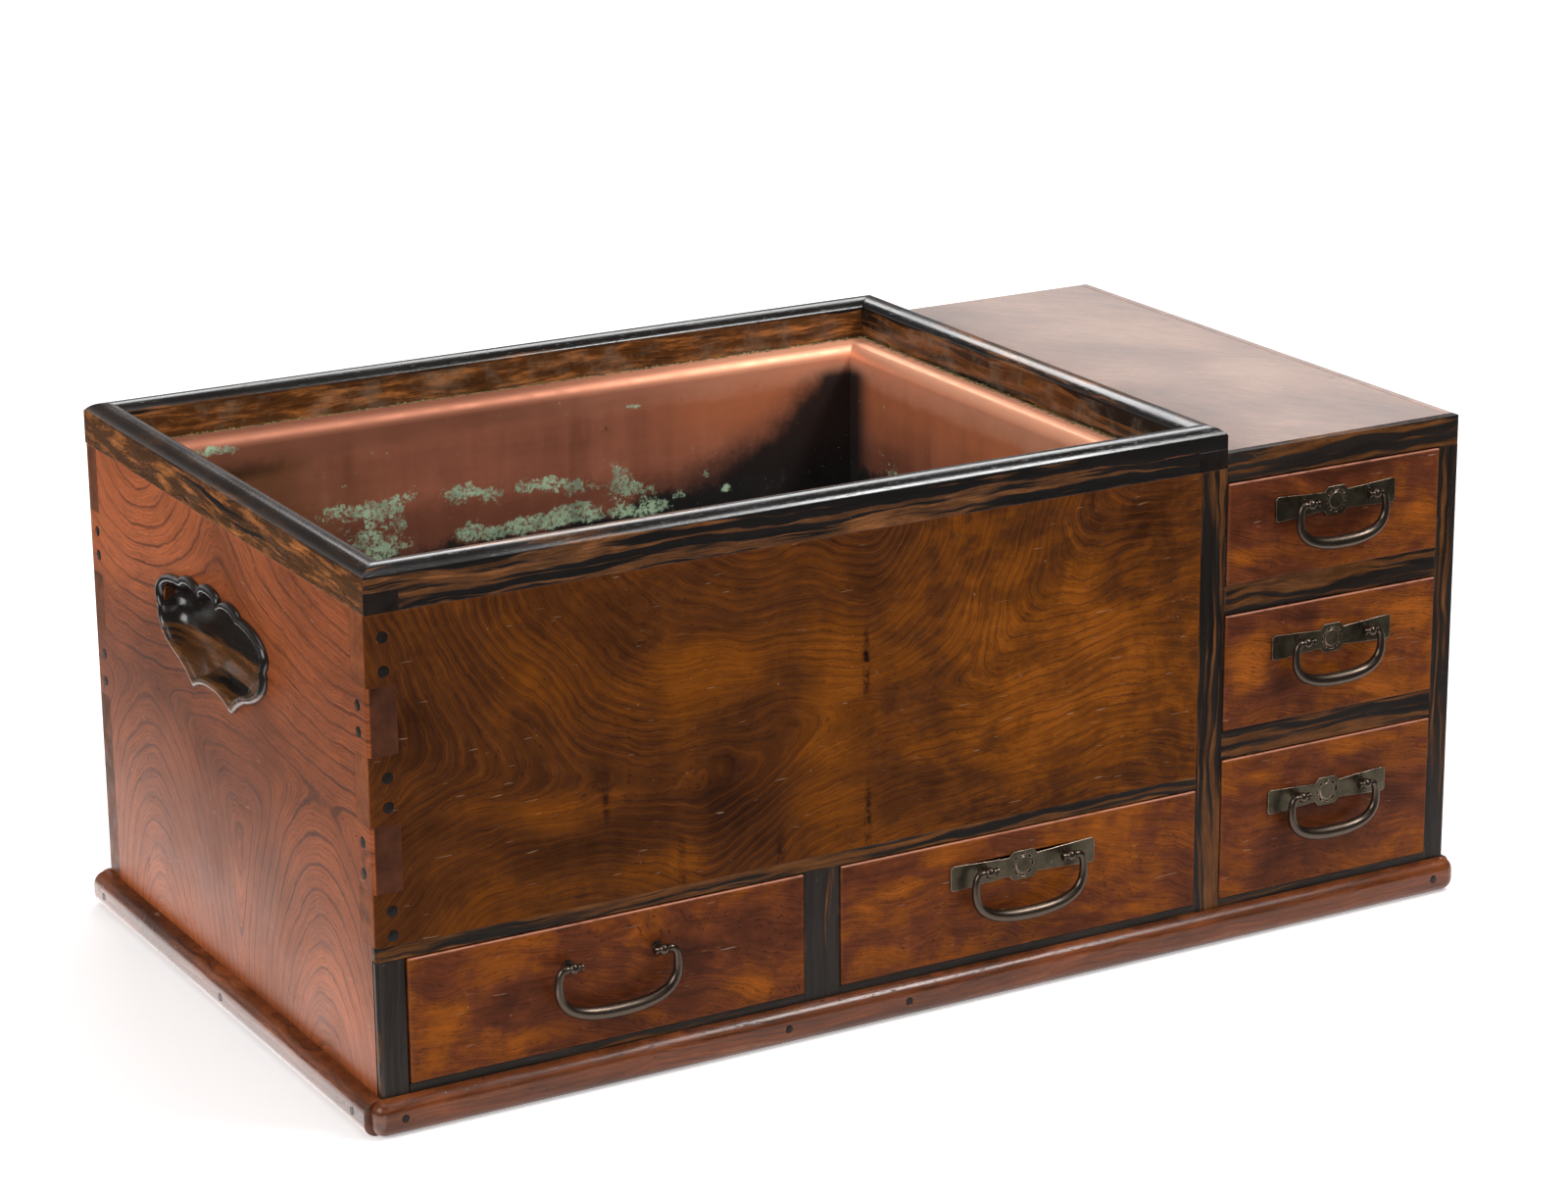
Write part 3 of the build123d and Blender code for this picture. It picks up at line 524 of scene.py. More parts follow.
def liner_copper():
    """Used copper: clean shoulders, stained walls, green tide marks and a sooty bottom, with painted light
    and shade.
    """
    c = colours()
    low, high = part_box("copper_liner")
    tide_line = low.z + 0.112
    f = Finish("liner_copper", Specular_IOR_Level=0.4)
    place = f.place()
    x, y, z = f.parts(place)
    drift = f.noise(place * (6.0, 6.0, 4.0), 1.0, 5.0, 0.6)
    level = f.noise(place * (7.0, 7.0, 70.0), 1.0, 5.0, 0.6)
    upright = f.noise(place * (60.0, 60.0, 6.0), 1.0, 4.0, 0.6)
    mottle = f.noise(place, 30.0, 6.0, 0.68)

    # Use has marked only the inner faces and the shoulder with its flange
    reach = depth_inside(f, low, high)
    inner = f.ease(f.least(*f.parts(reach - LINER_WALLS)), -0.0002, 0.0002)
    shoulder_foot = high.z - LINER_SHOULDER
    inner = f.most(inner, f.ease(z, shoulder_foot - 0.0005, shoulder_foot + 0.0005))

    shades = tones_of(c.copper_stain, 0.62, 0.92, 1.15) + (tone(c.copper, 0.66),)
    wall = f.ramp(drift * 0.6 + (level + upright) * 0.2, *zip((0.40, 0.48, 0.56, 0.66), shades))
    olive = f.ease(mottle * 0.12 + x, low.x + 0.12, low.x + 0.24, 0.55, 0.0)
    wall = f.mix(olive, wall, shade(98, 74, 36))
    murk = near_spots(f, place, (((-0.31, high.y, 0.291), (0.10, 0.06, 0.018), 1.3),))
    wall = f.mix(murk * inner * f.ease(mottle, 0.35, 0.5), wall, shade(64, 42, 20))
    wall = f.mix(f.ease(mottle, 0.56, 0.70, 0.0, 0.35), wall, tone(c.copper_stain, 0.5))
    spots = f.ease(f.noise(place, 70.0, 4.0, 0.7), 0.67, 0.72)
    wall = f.mix(spots * 0.6, wall, tone(c.copper_stain, 0.22))
    # Clean copper fades down the wall below the shoulder: partly the copper's own colour, partly painted
    # light below the roll
    shoulder = f.ease((mottle - 0.5) * 0.02 + z, high.z - 0.028, shoulder_foot)
    # Painted light: the upper wall grows lighter towards the right
    painted_light = f.ease(x, -0.02, 0.07, 0.0, 0.65) * f.ease(z, low.z + 0.12, low.z + 0.17)
    wall = f.mix(painted_light * f.ease(mottle, 0.3, 0.6, 1.0, 0.7), wall, shade(226, 134, 84))
    clean = f.mix(f.ease(level, 0.35, 0.65, 0.0, 0.4), c.copper, tone(c.copper, 0.7))
    # Painted light and shade: the clean shoulder is darker on the left and lighter on the right, after its
    # highlight
    clean = f.mix(f.ease(x, -0.12, 0.06, 0.75, 0.0), clean, tone(c.copper_stain, 0.85))
    clean = f.mix(f.ease(x, 0.0, 0.10), clean, tone(c.copper, 1.25))
    f.colour = f.mix(shoulder, wall, clean)

    # Crumbling verdigris and dirt along the flange's edge
    crumbly = f.noise(place, 210.0, 5.0, 0.7)
    near = (crumbly - 0.5) * 0.014 + f.least(*f.parts(reach)[:2])
    dirt = f.ease(near, 0.001, 0.006, 1.0, 0.0) * f.ease(z, high.z - 0.004, high.z - 0.002)
    f.paint(dirt, f.ramp(crumbly, (0.35, shade(60, 48, 26)), (0.65, shade(140, 122, 72))))

    # Soot below, and up the right corner a darkening that is partly soot and partly painted shadow of the
    # corner
    tide = (f.noise(place, 26.0, 6.0, 0.7) - 0.5) * 0.04 + z
    rise = f.ease(x, -0.05, 0.02, 0.0, 0.010)
    soot = f.ease(tide - rise, low.z + 0.098, low.z + 0.108, 1.0, 0.0) * inner
    black = f.ramp(mottle, (0.35, shade(8, 7, 7)), (0.6, shade(26, 21, 19)), (0.7, shade(70, 50, 42)))
    purple = f.ease(tide, low.z + 0.118, low.z + 0.136, 0.6, 0.0)
    f.paint(purple * inner, tone(c.copper_stain, 0.42))
    toward = f.most((x - 0.02) / 0.15, 0.0)
    climb = toward * toward * 0.10 + (low.z + 0.106)
    dark = f.ease(tide - climb, -0.004, 0.036, 0.97, 0.0)
    dark = dark * f.ease(x, -0.02, 0.05) * f.ease(y, high.y - 0.05, high.y - 0.022)
    dark = dark * inner * f.ease(z, high.z - 0.022, high.z - 0.008, 1.0, 0.0)
    f.paint(dark, shade(9, 6, 5))
    f.paint(soot, black)

    # Pale green crumbs in two broken tide lines
    marks = []
    for mark_x, mark_z, wide, tall, strength in TIDE_MARKS:
        middle = (mark_x / 1000, high.y - 0.03, mark_z / 1000)
        marks.append((middle, (wide / 600, 0.06, tall / 640), strength))
    marks.append(((high.x - 0.035, 0.135, 0.246), (0.03, 0.010, 0.012), 0.9))
    clump = f.noise(place, 240.0, 5.0, 0.75) * 0.5 + f.noise(place, 80.0, 7.0, 0.76) * 0.5
    green = f.ease(near_spots(f, place, marks) * 0.22 + clump, 0.60, 0.67)
    front = f.ease(y, high.y - 0.08, high.y - 0.04, 1.0, 0.0)
    lines = f.ease(f.math("ABSOLUTE", tide - tide_line), 0.0, 0.018, 0.16, 0.0)
    green = f.most(green, f.ease(lines * front + clump, 0.60, 0.66)) * inner
    green = green * f.ease(f.noise(place, 300.0, 6.0, 0.8), 0.42, 0.52, 0.1, 1.0)
    pale = f.tones(f.noise(place, 55.0, 4.0, 0.65), c.verdigris, (0.36, 0.6), (0.5, 1.0), (0.64, 1.3))
    f.paint(green, pale)

    # Crust, dirt, soot and the corner's painted shadow are matt and hardly metallic
    crust = f.most(green, dirt, soot * 0.9, dark * 0.9)
    metallic = (1.0 - crust * 0.97) * f.ease(shoulder, 0.0, 1.0, 0.3, 0.6)
    rough = crust * 0.45 + f.ease(upright, 0.2, 0.8, 0.42, 0.56)
    height = clump * green * 0.1 + drift * 0.3
    normal = f.bump(height, 0.3, 0.001)
    return f.finish(Base_Color=f.colour, Metallic=metallic, Roughness=rough, Normal=normal)


def bronze(name, colour, roughness, pitting=0.5, green=1.0, cloudy=0.5):
    """Dark patinated metal with a rubbed sheen and a few green specks."""
    f = Finish(name, Specular_IOR_Level=0.5)
    place = f.place()
    cloud = f.noise(place, 70.0, 5.0, 0.65)
    f.colour = f.tones(cloud, colour, (0.3, 1.0 - cloudy), (0.52, 1.0), (0.75, 1.0 + cloudy))
    pits = f.ease(f.noise(place, 900.0, 3.0, 0.6), 0.58, 0.7)
    f.paint(pits * pitting, tone(colour, 0.35))
    specks = f.ease(f.noise(place, 150.0, 2.0, 0.5), 0.75, 0.78, 0.0, green)
    f.paint(specks, shade(84, 122, 84))
    metallic = 0.92 - specks * 0.8
    rough = pits * (0.3 * pitting) + f.ease(cloud, 0.3, 0.7, *roughness)
    if pitting:
        f.finish(Normal=f.bump(f.noise(place, 420.0, 4.0, 0.6), 0.2 * pitting, 0.0002))
    return f.finish(Base_Color=f.colour, Metallic=metallic, Roughness=rough)


def peg_wood():
    f = Finish("peg_wood", Specular_IOR_Level=0.25)
    place = f.place()
    f.colour = f.ramp(f.noise(place, 900.0, 4.0), (0.35, shade(14, 12, 12)), (0.7, shade(40, 30, 26)))
    rough = f.ease(f.noise(place, 300.0, 3.0), 0.3, 0.7, 0.28, 0.5)
    normal = f.bump(f.noise(place, 1400.0, 3.0), 0.2, 0.0002)
    return f.finish(Base_Color=f.colour, Roughness=rough, Normal=normal)


def crust_finish():
    f = Finish("liner_crust", Roughness=0.9)
    place = f.place()
    grit = f.noise(place, 500.0, 5.0, 0.7)
    f.colour = f.ramp(grit, (0.3, shade(58, 48, 28)), (0.5, shade(120, 104, 62)), (0.7, shade(196, 184, 142)))
    return f.finish(Base_Color=f.colour, Normal=f.bump(grit, 0.5, 0.0004))


def wood_recipes():
    """How each kind of wood looks. Places are in mm from the body's left front corner, and from the floor."""
    c = colours()
    front_line = shade(40, 22, 18)
    front_bottom, side_bottom = (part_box(node)[0].z for node in ("front_panel", "left_side_panel"))
    on_front, on_side = (0.0, -front_bottom), (0.0, -side_bottom)
    level = (1.0, 0.6)
    side = dict(
        name="side_wood", tones=tones_of(c.side_wood, 0.55, 0.85, 1.15, 1.5), line=shade(62, 36, 28),
        centres=centres_at(
            side_bottom, (30, 335, 0.45, 1.0, 0.0), (345, 330, 0.6, 1.0, 0.0), (330, -20, 1.5, 0.75, 0.0),
            (70, -40, 1.6, 0.75, 0.01),
        ),
        merge=0.03, swirl=0.03, wobble=0.008, rings=80.0, ring_strength=0.7, ring_width=0.24,
        bands=9.0, contrast=0.8, calm=0.45, roughness=(0.28, 0.4), edge=(0.3, tone(c.side_wood, 1.7)),
        # The lighter top and foot and the darker middle are partly the wood's own tone and partly painted
        # sheen
        spots=spots_at(
            on_side, (345, 285, 160, 80, 0.34), (90, 60, 200, 70, 0.22), (300, 20, 200, 60, 0.24),
            (330, 190, 160, 60, -0.12), (90, 190, 100, 50, -0.05),
        ),
    )
    front = dict(
        name="front_wood", tones=tones_of(c.front_wood, 0.45, 1.0) + tones_of(c.front_glow, 1.0, 1.6),
        line=front_line, gloss=0.06,
        centres=centres_at(
            front_bottom, (235, 350, 0.9, 1.0, 0.0), (318, 350, 1.35, 1.0, 0.0), (120, 20, 0.9, 1.0, 0.0),
            (500, -150, 0.8, 1.0, 0.22),
        ),
        merge=0.05, swirl=0.07, swirl_scale=6.0, wobble=0.009, rings=175.0, ring_strength=0.42,
        ring_width=0.3, bands=11.0, contrast=0.62, mottle=0.2, curl=0.075, curl_reach=(0.26, 0.42),
        pale_lines=0.16, pores=0.55,
        spots=spots_at(
            on_front, (298, 190, 40, 140, 0.15), (205, 238, 90, 30, 0.13), (115, 180, 80, 25, 0.12),
            (430, 235, 130, 70, 0.15), (480, 180, 90, 60, 0.13), (160, 125, 90, 25, 0.08),
            (150, 160, 140, 70, -0.09), (60, 240, 100, 90, -0.06), (235, 150, 60, 70, -0.12),
            (370, 140, 60, 40, -0.10), (190, 130, 70, 25, 0.14),
        ),
        stains=spots_at(
            on_front, (321, 228, 4, 34, 1.1), (322, 130, 4, 34, 1.1), (147, 175, 4, 28, 0.8),
            (196, 125, 4, 30, 0.7), (262, 120, 5, 20, 0.7),
        ),
        edge=(0.3, tone(c.front_wood, 1.6)),
    )
    drawer = dict(
        name="drawer_wood", tones=tones_of(c.drawer_wood, 0.5, 1.0) + tones_of(c.drawer_glow, 1.0, 1.45),
        # The light line along the drawers' upper edge is a painted highlight
        line=front_line, edge=(0.2, shade(150, 98, 72)), upper_edge_highlight=shade(214, 150, 126),
        centres=(((0.0, -0.05, 0.02), (0.3, *level), 0.0), ((0.45, 0.16, 0.0), (0.35, *level), 0.0)),
        swirl=0.035, swirl_scale=12.0, wobble=0.007, rings=110.0, ring_strength=0.22, bands=16.0,
        contrast=0.62, mottle=0.18, curl=0.05, pores=0.65,
    )
    top = dict(
        name="top_wood", line=shade(92, 62, 50), edge=(0.3, shade(170, 140, 120)),
        tones=(shade(112, 72, 56), shade(138, 96, 76), shade(158, 116, 94), shade(176, 136, 112)),
        centres=(((0.1, -0.2, 0.05), (0.4, *level), 0.0), ((0.5, 0.35, 0.0), (0.5, *level), 0.0)),
        swirl=0.07, ring_strength=0.3, bands=10.0, pores=0.35, roughness=(0.42, 0.52), gloss=0.5,
        dust=0.85, bump=0.08,
        plugs=tuple(((x / 1000, y / 1000, TOP_HEIGHT), (0.005, 0.003, 0.01), 0.7) for x, y in TOP_PLUGS),
    )
    moulding = dict(
        name="moulding_wood", line=shade(40, 20, 16), edge=(0.25, shade(150, 96, 64)),
        tones=tones_of(c.moulding_wood, 0.4, 0.9, 1.4) + (shade(176, 112, 72),),
        centres=(((0.0, -0.3, 0.05), (0.02, 1.0, 1.0), 0.0),),
        swirl=0.02, swirl_scale=9.0, wobble=0.004, rings=260.0, bands=60.0, mottle=0.15, pores=0.6,
        roughness=(0.18, 0.28), gloss=0.4,
    )
    plain = dict(
        name="plain_wood", line=shade(112, 78, 48),
        tones=(shade(120, 84, 52), shade(150, 112, 74), shade(170, 134, 92), shade(188, 154, 112)),
        centres=(((0.0, -0.3, 0.05), (0.04, 1.0, 1.0), 0.0),),
        swirl=0.03, rings=110.0, ring_strength=0.4, pores=0.25, roughness=(0.55, 0.72),
    )
    right = {**side, "name": "right_side_wood", "edge": (0.9, shade(84, 50, 36))}
    return dict(side=side, right=right, front=front, drawer=drawer, top=top, moulding=moulding, plain=plain)


# Meshes


def linked(name, data):
    """A new object in the scene."""
    thing = bpy.data.objects.new(name, data)
    bpy.context.scene.collection.objects.link(thing)
    return thing


def piece(name, mesh, body, material, *replaced):
    """Links a finished mesh, hangs it on its body and hides the solids that it stands for."""
    if material is not None:
        mesh.materials.clear()
        mesh.materials.append(material)
    thing = linked(name, mesh)
    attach(thing, body)
    if replaced:
        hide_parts(*replaced)
    return thing


def plain_mesh(thing):
    """The object's evaluated shape as a mesh of its own, with the working object removed."""
    graph = bpy.context.evaluated_depsgraph_get()
    mesh = bpy.data.meshes.new_from_object(thing.evaluated_get(graph), depsgraph=graph)
    bpy.data.objects.remove(thing)
    return mesh


def merged_copy(node, flat=0.5):
    """A CAD node's faces, joined at their corners and cleared of inner edges flatter than this angle."""
    mesh = NODES[node].data.copy()
    shape = bmesh.new()
    shape.from_mesh(mesh)
    bmesh.ops.remove_doubles(shape, verts=shape.verts, dist=1e-6)
    if flat:
        bmesh.ops.dissolve_limit(shape, angle_limit=math.radians(flat), verts=shape.verts, edges=shape.edges)
    shape.to_mesh(mesh)
    shape.free()
    if "custom_normal" in mesh.attributes:
        mesh.attributes.remove(mesh.attributes["custom_normal"])
    return mesh


def softened(mesh, width, angle=40.0, edge_material=-1):
    """Rounds every sharp edge of a mesh by a small width and keeps its flat faces flat."""
    mesh.shade_smooth()
    thing = linked("working", mesh)
    bevel = thing.modifiers.new("worn edges", "BEVEL")
    bevel.width = width
    bevel.segments = 2
    bevel.limit_method = "ANGLE"
    bevel.angle_limit = math.radians(angle)
    bevel.use_clamp_overlap = False
    bevel.material = edge_material
    flat = thing.modifiers.new("flat faces", "WEIGHTED_NORMAL")
    flat.keep_sharp = True
    return plain_mesh(thing)


def corners_of(mesh):
    co = np.empty(len(mesh.vertices) * 3, np.float32)
    mesh.vertices.foreach_get("co", co)
    return co.reshape(-1, 3)


def write_vectors(mesh, name, values):
    layer = mesh.attributes.get(name) or mesh.attributes.new(name, "FLOAT_VECTOR", "POINT")
    layer.data.foreach_set("vector", np.asarray(values, np.float32).ravel())


def give_grain(mesh, along, across, offset=(0.0, 0.0, 0.0)):
    """Writes where each corner lies along, across and through the grain, and the board's box."""
    co = corners_of(mesh)
    low, high = co.min(0), co.max(0)
    write_vectors(mesh, "grain", (co - low)[:, [along, across, 3 - along - across]] + np.array(offset))
    write_vectors(mesh, "low", np.tile(low, (len(co), 1)))
    write_vectors(mesh, "high", np.tile(high, (len(co), 1)))


def dress_board(node, body, finish, along, across, edge, slot, offset, warmth=(0.0, 0.0), ends=None):
    """Softens and grains one board. Warmth runs end to end. Ends: how its fingers face, and their finish."""
    mesh = softened(merged_copy(node), edge)
    give_grain(mesh, along, across, offset)
    start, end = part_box(node)
    spread = np.interp(corners_of(mesh)[:, along], (start[along], end[along]), warmth)
    mesh.attributes.new("warmth", "FLOAT", "POINT").data.foreach_set("value", spread.astype(np.float32))
    thing = piece("dressed_" + node, mesh, body, finish, node)
    if ends:
        facing, end_finish = ends
        mesh.materials.append(end_finish)
        for face in mesh.polygons:
            if abs(face.normal[facing]) > 0.9:
                face.material_index = 1
    return thing


# Geometry Nodes


class Grower(Net):
    """A Geometry Nodes tree with named inputs, run once on a mesh."""

    def __init__(self, name, **inputs):
        super().__init__(bpy.data.node_groups.new(name, "GeometryNodeTree"))
        face = self.tree.interface
        face.new_socket("Geometry", in_out="INPUT", socket_type="NodeSocketGeometry")
        self.values = {}
        for label, value in inputs.items():
            kind = {int: "NodeSocketInt", float: "NodeSocketFloat"}.get(type(value), "NodeSocketMaterial")
            socket = face.new_socket(label, in_out="INPUT", socket_type=kind)
            self.values[socket.identifier] = value
        face.new_socket("Geometry", in_out="OUTPUT", socket_type="NodeSocketGeometry")
        self.given = self.node("NodeGroupInput")

    def input(self, label):
        return self.out(self.given, label)

    def grow(self, mesh, geometry):
        """Ends the tree with real geometry in its material and returns the grown mesh."""
        real = self.add("GeometryNodeRealizeInstances", {0: geometry})
        smooth = self.add("GeometryNodeSetShadeSmooth", {0: real})
        painted = self.add("GeometryNodeSetMaterial", {0: smooth, "Material": self.input("Finish")})
        self.node("NodeGroupOutput", {0: painted})
        thing = linked("working", mesh)
        modifier = thing.modifiers.new("grow", "NODES")
        modifier.node_group = self.tree
        for identifier, value in self.values.items():
            modifier[identifier] = value
        return plain_mesh(thing)


def point_mesh(places, **vectors):
    """A mesh of loose points, with a named vector on each."""
    mesh = bpy.data.meshes.new("points")
    mesh.from_pydata(places, [], [])
    for name, values in vectors.items():
        write_vectors(mesh, name, values)
    return mesh


# Operators


class CHEST_OT_boards(bpy.types.Operator):
    """Dresses the panels, stiles, rails and inner boards"""

    bl_idname = "chest.boards"
    bl_label = "Boards"

    def execute(self, context):
        recipes = wood_recipes()
        woods = {kind: wood(**recipes[kind]) for kind in ("side", "right", "top", "front", "plain")}
        striped = ebony("ebony_facing", brown=0.5)
        black = ebony("ebony_stile", brown=-0.25, lift=1.7)
        sombre = ebony("ebony_sombre", brown=0.12, lift=1.3)
        ends = {
            "left_side_panel": (1, end_grain("side_ends", shade(76, 42, 26))),
            "front_panel": (0, end_grain("front_ends", shade(132, 72, 38))),
            "back_panel": (0, end_grain("back_ends", shade(112, 62, 36))),
            "right_side_panel": (2, woods["top"]),
        }
        edge, joint = sizes().board_edge, sizes().joint_edge
        plain = woods["plain"]
        boards = {
            # slot: node, finish, grain axis, width axis, edge
            "panel_wood": (
                ("left_side_panel", woods["side"], 1, 2, joint),
                ("right_side_panel", woods["right"], 1, 2, edge),
                ("back_panel", woods["side"], 0, 2, joint),
                ("cabinet_top_panel", woods["top"], 1, 0, edge),
            ),
            "figured_wood": (("front_panel", woods["front"], 0, 2, joint),),
            "ebony_wood": (
                ("left_stile", black, 2, 0, edge * 3),
                ("lower_middle_stile", black, 2, 0, joint),
                ("centre_stile", striped, 2, 0, joint),
                ("right_stile", sombre, 2, 0, joint),
                ("lower_drawer_rail", striped, 0, 2, joint),
                ("drawer_rails", striped, 0, 2, joint),
                ("bottom_rail", black, 0, 2, joint),
                ("cabinet_top_rail", sombre, 0, 2, edge),
            ),
            "plain_wood": (
                ("cabinet_partition", plain, 1, 2, joint),
                ("lower_partition", plain, 1, 2, joint),
                ("firebox_floor", plain, 0, 1, joint),
                ("bottom_board", plain, 0, 1, joint),
                ("dust_boards", plain, 1, 0, joint),
                ("liner_ledges", plain, 0, 1, joint),
            ),
        }
        number = 0
        for slot, rows in boards.items():
            for node, *rest in rows:
                # The figure of these two lies where it does on the real boards
                fixed = node in ("left_side_panel", "front_panel")
                offset = (0, 0, 0) if fixed else (number * 0.7, number * 0.31, 0)
                dress_board(node, "chest", *rest, slot, offset, ends=ends.get(node))
                number += 1
        return {"FINISHED"}


class CHEST_OT_rim(bpy.types.Operator):
    """Dresses the crowned rim round the fire box"""

    bl_idname = "chest.rim"
    bl_label = "Rim"

    def execute(self, context):
        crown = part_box("rim_front")[1].z - CROWN_HEIGHT
        edge, slack = 0.0004, 0.0003
        low = (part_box("rim_left")[1].x - slack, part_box("rim_front")[1].y - slack, 0.0)
        high = (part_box("rim_right")[0].x + slack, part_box("rim_back")[0].y + slack, crown)
        shared = dict(crown=crown, dusty=(low, high), roughness=(0.18, 0.27))
        finish = ebony("ebony_rim", brown=0.1, tan=0.7, gloss=0.8, lift=0.5, **shared)
        browner = ebony("ebony_rim_left", brown=1.2, tan=1.6, gloss=0.6, lift=0.7, **shared)
        cut_ends = (1, end_grain("rim_ends", shade(34, 27, 24)))
        rims = (
            # side, grain axis, how brown the crown is from end to end, finish of the lap ends
            ("front", 0, (0.95, -0.1), None),
            ("back", 0, (0.0, -0.3), None),
            ("left", 1, (0.1, 0.15), cut_ends),
            ("right", 1, (0.6, 0.9), cut_ends),
        )
        for number, (side, along, warmth, ends) in enumerate(rims):
            offset = (number * 0.83, number * 0.37, 0)
            face = browner if side in ("left", "back") else finish
            dress_board("rim_" + side, "chest", face, along, 2, edge, "ebony_wood", offset, warmth, ends)
        return {"FINISHED"}


class CHEST_OT_moulding(bpy.types.Operator):
    """Dresses the base moulding"""

    bl_idname = "chest.moulding"
    bl_label = "Base moulding"

    def execute(self, context):
        finish = wood(**wood_recipes()["moulding"])
        for number, (side, along) in enumerate((("front", 0), ("back", 0), ("left", 1), ("right", 1))):
            offset = (number * 0.9, number * 0.4, 0)
            node = "base_moulding_" + side
            dress_board(node, "chest", finish, along, 2, sizes().board_edge, "moulding_wood", offset)
        return {"FINISHED"}


class CHEST_OT_pegs(bpy.types.Operator):
    """Sets the round-headed pegs in the corners and the moulding"""

    bl_idname = "chest.pegs"
    bl_label = "Pegs"

    def execute(self, context):
        places, facings, scales = [], [], []
        for co in islands(merged_copy("wooden_pegs")):
            low, high = co.min(0), co.max(0)
            size, end = high - low, (low + high) / 2
            axis = int(size.argmax())
            out = np.zeros(3)
            out[axis] = -1 if axis == 0 or end[1] < 0 else 1
            end[axis] = (low[axis] if out[axis] < 0 else high[axis]) - out[axis] * sizes().peg_dome
            radius = np.delete(size, axis).mean() / 2
            places.append(end)
            facings.append(out)
            scales.append((radius, radius, size[axis]))
        g = Grower("pegs", Finish=peg_wood(), Dome=sizes().peg_dome, Sides=28)
        sides = g.input("Sides")
        body = g.add("GeometryNodeMeshCylinder", {"Vertices": sides, "Radius": 1.0, "Depth": 1.0}, "Mesh")
        sunk = g.add("GeometryNodeTransform", {"Geometry": body, "Translation": (0, 0, -0.5)})
        head = g.add("GeometryNodeMeshUVSphere", {"Segments": sides, "Rings": 8, "Radius": 1.0}, "Mesh")
        facing, size = (
            g.add("GeometryNodeInputNamedAttribute", {"Name": name}, data_type="FLOAT_VECTOR")
            for name in ("facing", "size")
        )
        turned = g.add("FunctionNodeAlignRotationToVector", {"Vector": facing}, axis="Z")
        common = {"Points": g.input("Geometry"), "Rotation": turned}
        stems = g.add("GeometryNodeInstanceOnPoints", {**common, "Instance": sunk, "Scale": size})
        flat = g.add("ShaderNodeSeparateXYZ", {0: size})
        low_dome = g.add("ShaderNodeCombineXYZ", {0: flat, 1: flat, 2: g.input("Dome")})
        domes = g.add("GeometryNodeInstanceOnPoints", {**common, "Instance": head, "Scale": low_dome})
        both = g.node("GeometryNodeJoinGeometry")
        for part in (stems, domes):
            g.feed(both, {0: part})
        mesh = g.grow(point_mesh(places, facing=facings, size=scales), g.out(both))
        piece("peg_heads", mesh, "chest", None, "wooden_pegs")
        return {"FINISHED"}


def islands(mesh):
    """The corners of each separate solid in a mesh."""
    shape = bmesh.new()
    shape.from_mesh(mesh)
    left = set(shape.verts)
    for start in shape.verts:
        if start not in left:
            continue
        left.discard(start)
        group = [start]
        for corner in group:
            fresh = [edge.other_vert(corner) for edge in corner.link_edges if edge.other_vert(corner) in left]
            left.difference_update(fresh)
            group += fresh
        yield np.array([corner.co for corner in group])
    shape.free()


class CHEST_OT_side_pull(bpy.types.Operator):
    """Carves the cloud-shaped pull in the left side"""

    bl_idname = "chest.side_pull"
    bl_label = "Side pull"

    OUTLINE_SHARES = (
        ((0.12, 0.97), (0.19, 0.80)),
        ((0.38, 0.93), (0.57, 0.80)),
        ((0.91, 0.66), (1.0, 0.12)),
        ((0.91, -0.38), (0.62, -0.66)),
        ((0.46, -0.84), (0.36, -1.0)),
        ((0.22, -0.87), (0.0, -0.82)),
    )

    def outline(self):
        """Points of the cloud shape in shares of its half length and half height, the right way round."""
        half, start = [], Vector((0.0, 1.0))
        for middle, end in self.OUTLINE_SHARES:
            half += arc_points(start, Vector(middle), Vector(end), 10)[:-1]
            start = Vector(end)
        half.append(start)
        return half + [Vector((-p.x, p.y)) for p in reversed(half[1:-1])]

    def execute(self, context):
        low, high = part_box("side_pull")
        centre, half = (low + high) / 2, (high - low) / 2
        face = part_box("left_side_panel")[0].x
        # Inset from the outline, and depth from the panel's face: minus is out of the panel
        steps = (
            (4.0, 6.0), (4.0, 0.4), (0.0, 0.0), (-0.2, -1.4), (0.5, -2.8), (2.0, -3.8), (3.6, -4.0),
            (4.6, -3.5), (5.0, -2.7), (5.2, -2.9), (5.7, -2.9), (6.1, -2.2), (6.4, -1.0), (6.7, 1.5),
            (7.6, 6.0), (9.6, 10.0), (13.4, 12.8), (18.4, 14.2), (23.8, 14.8), (30.0, 15.0),
        )
        shape = bmesh.new()
        rings = []
        points = self.outline()
        for inset, depth in steps:
            inset, x = inset / 1000, face + depth / 1000
            length, height = half.y - inset, half.z - min(inset, half.z * 0.93)
            ring = [(x, centre.y + p.x * length, centre.z + p.y * height) for p in points]
            rings.append([shape.verts.new(corner) for corner in ring])
        back = [shape.verts.new((face + PULL_DEPTH, v.co.y, v.co.z)) for v in rings[0]]
        for outer, inner in zip([back] + rings, rings):
            for i in range(-1, len(points) - 1):
                shape.faces.new((outer[i], outer[i + 1], inner[i + 1], inner[i]))
        shape.faces.new(rings[-1])
        shape.faces.new(list(reversed(back)))
        bmesh.ops.recalc_face_normals(shape, faces=shape.faces)
        mesh = bpy.data.meshes.new("carved_pull")
        shape.to_mesh(mesh)
        shape.free()
        mesh.shade_smooth()
        mesh.set_sharp_from_angle(angle=math.radians(50))
        give_grain(mesh, 1, 2, offset=(3.3, 1.7, 0))
        # The pull's upper hollow is painted black as shade, and its foot browner
        finish = ebony(
            "ebony_pull", brown=0.3, tan=0.6, gloss=0.8, wave=0.02, roughness=(0.22, 0.32),
            painted_shade_above=(low.z + 0.016, low.z + 0.034),
        )
        piece("carved_side_pull", mesh, "chest", finish, "side_pull")
        return {"FINISHED"}


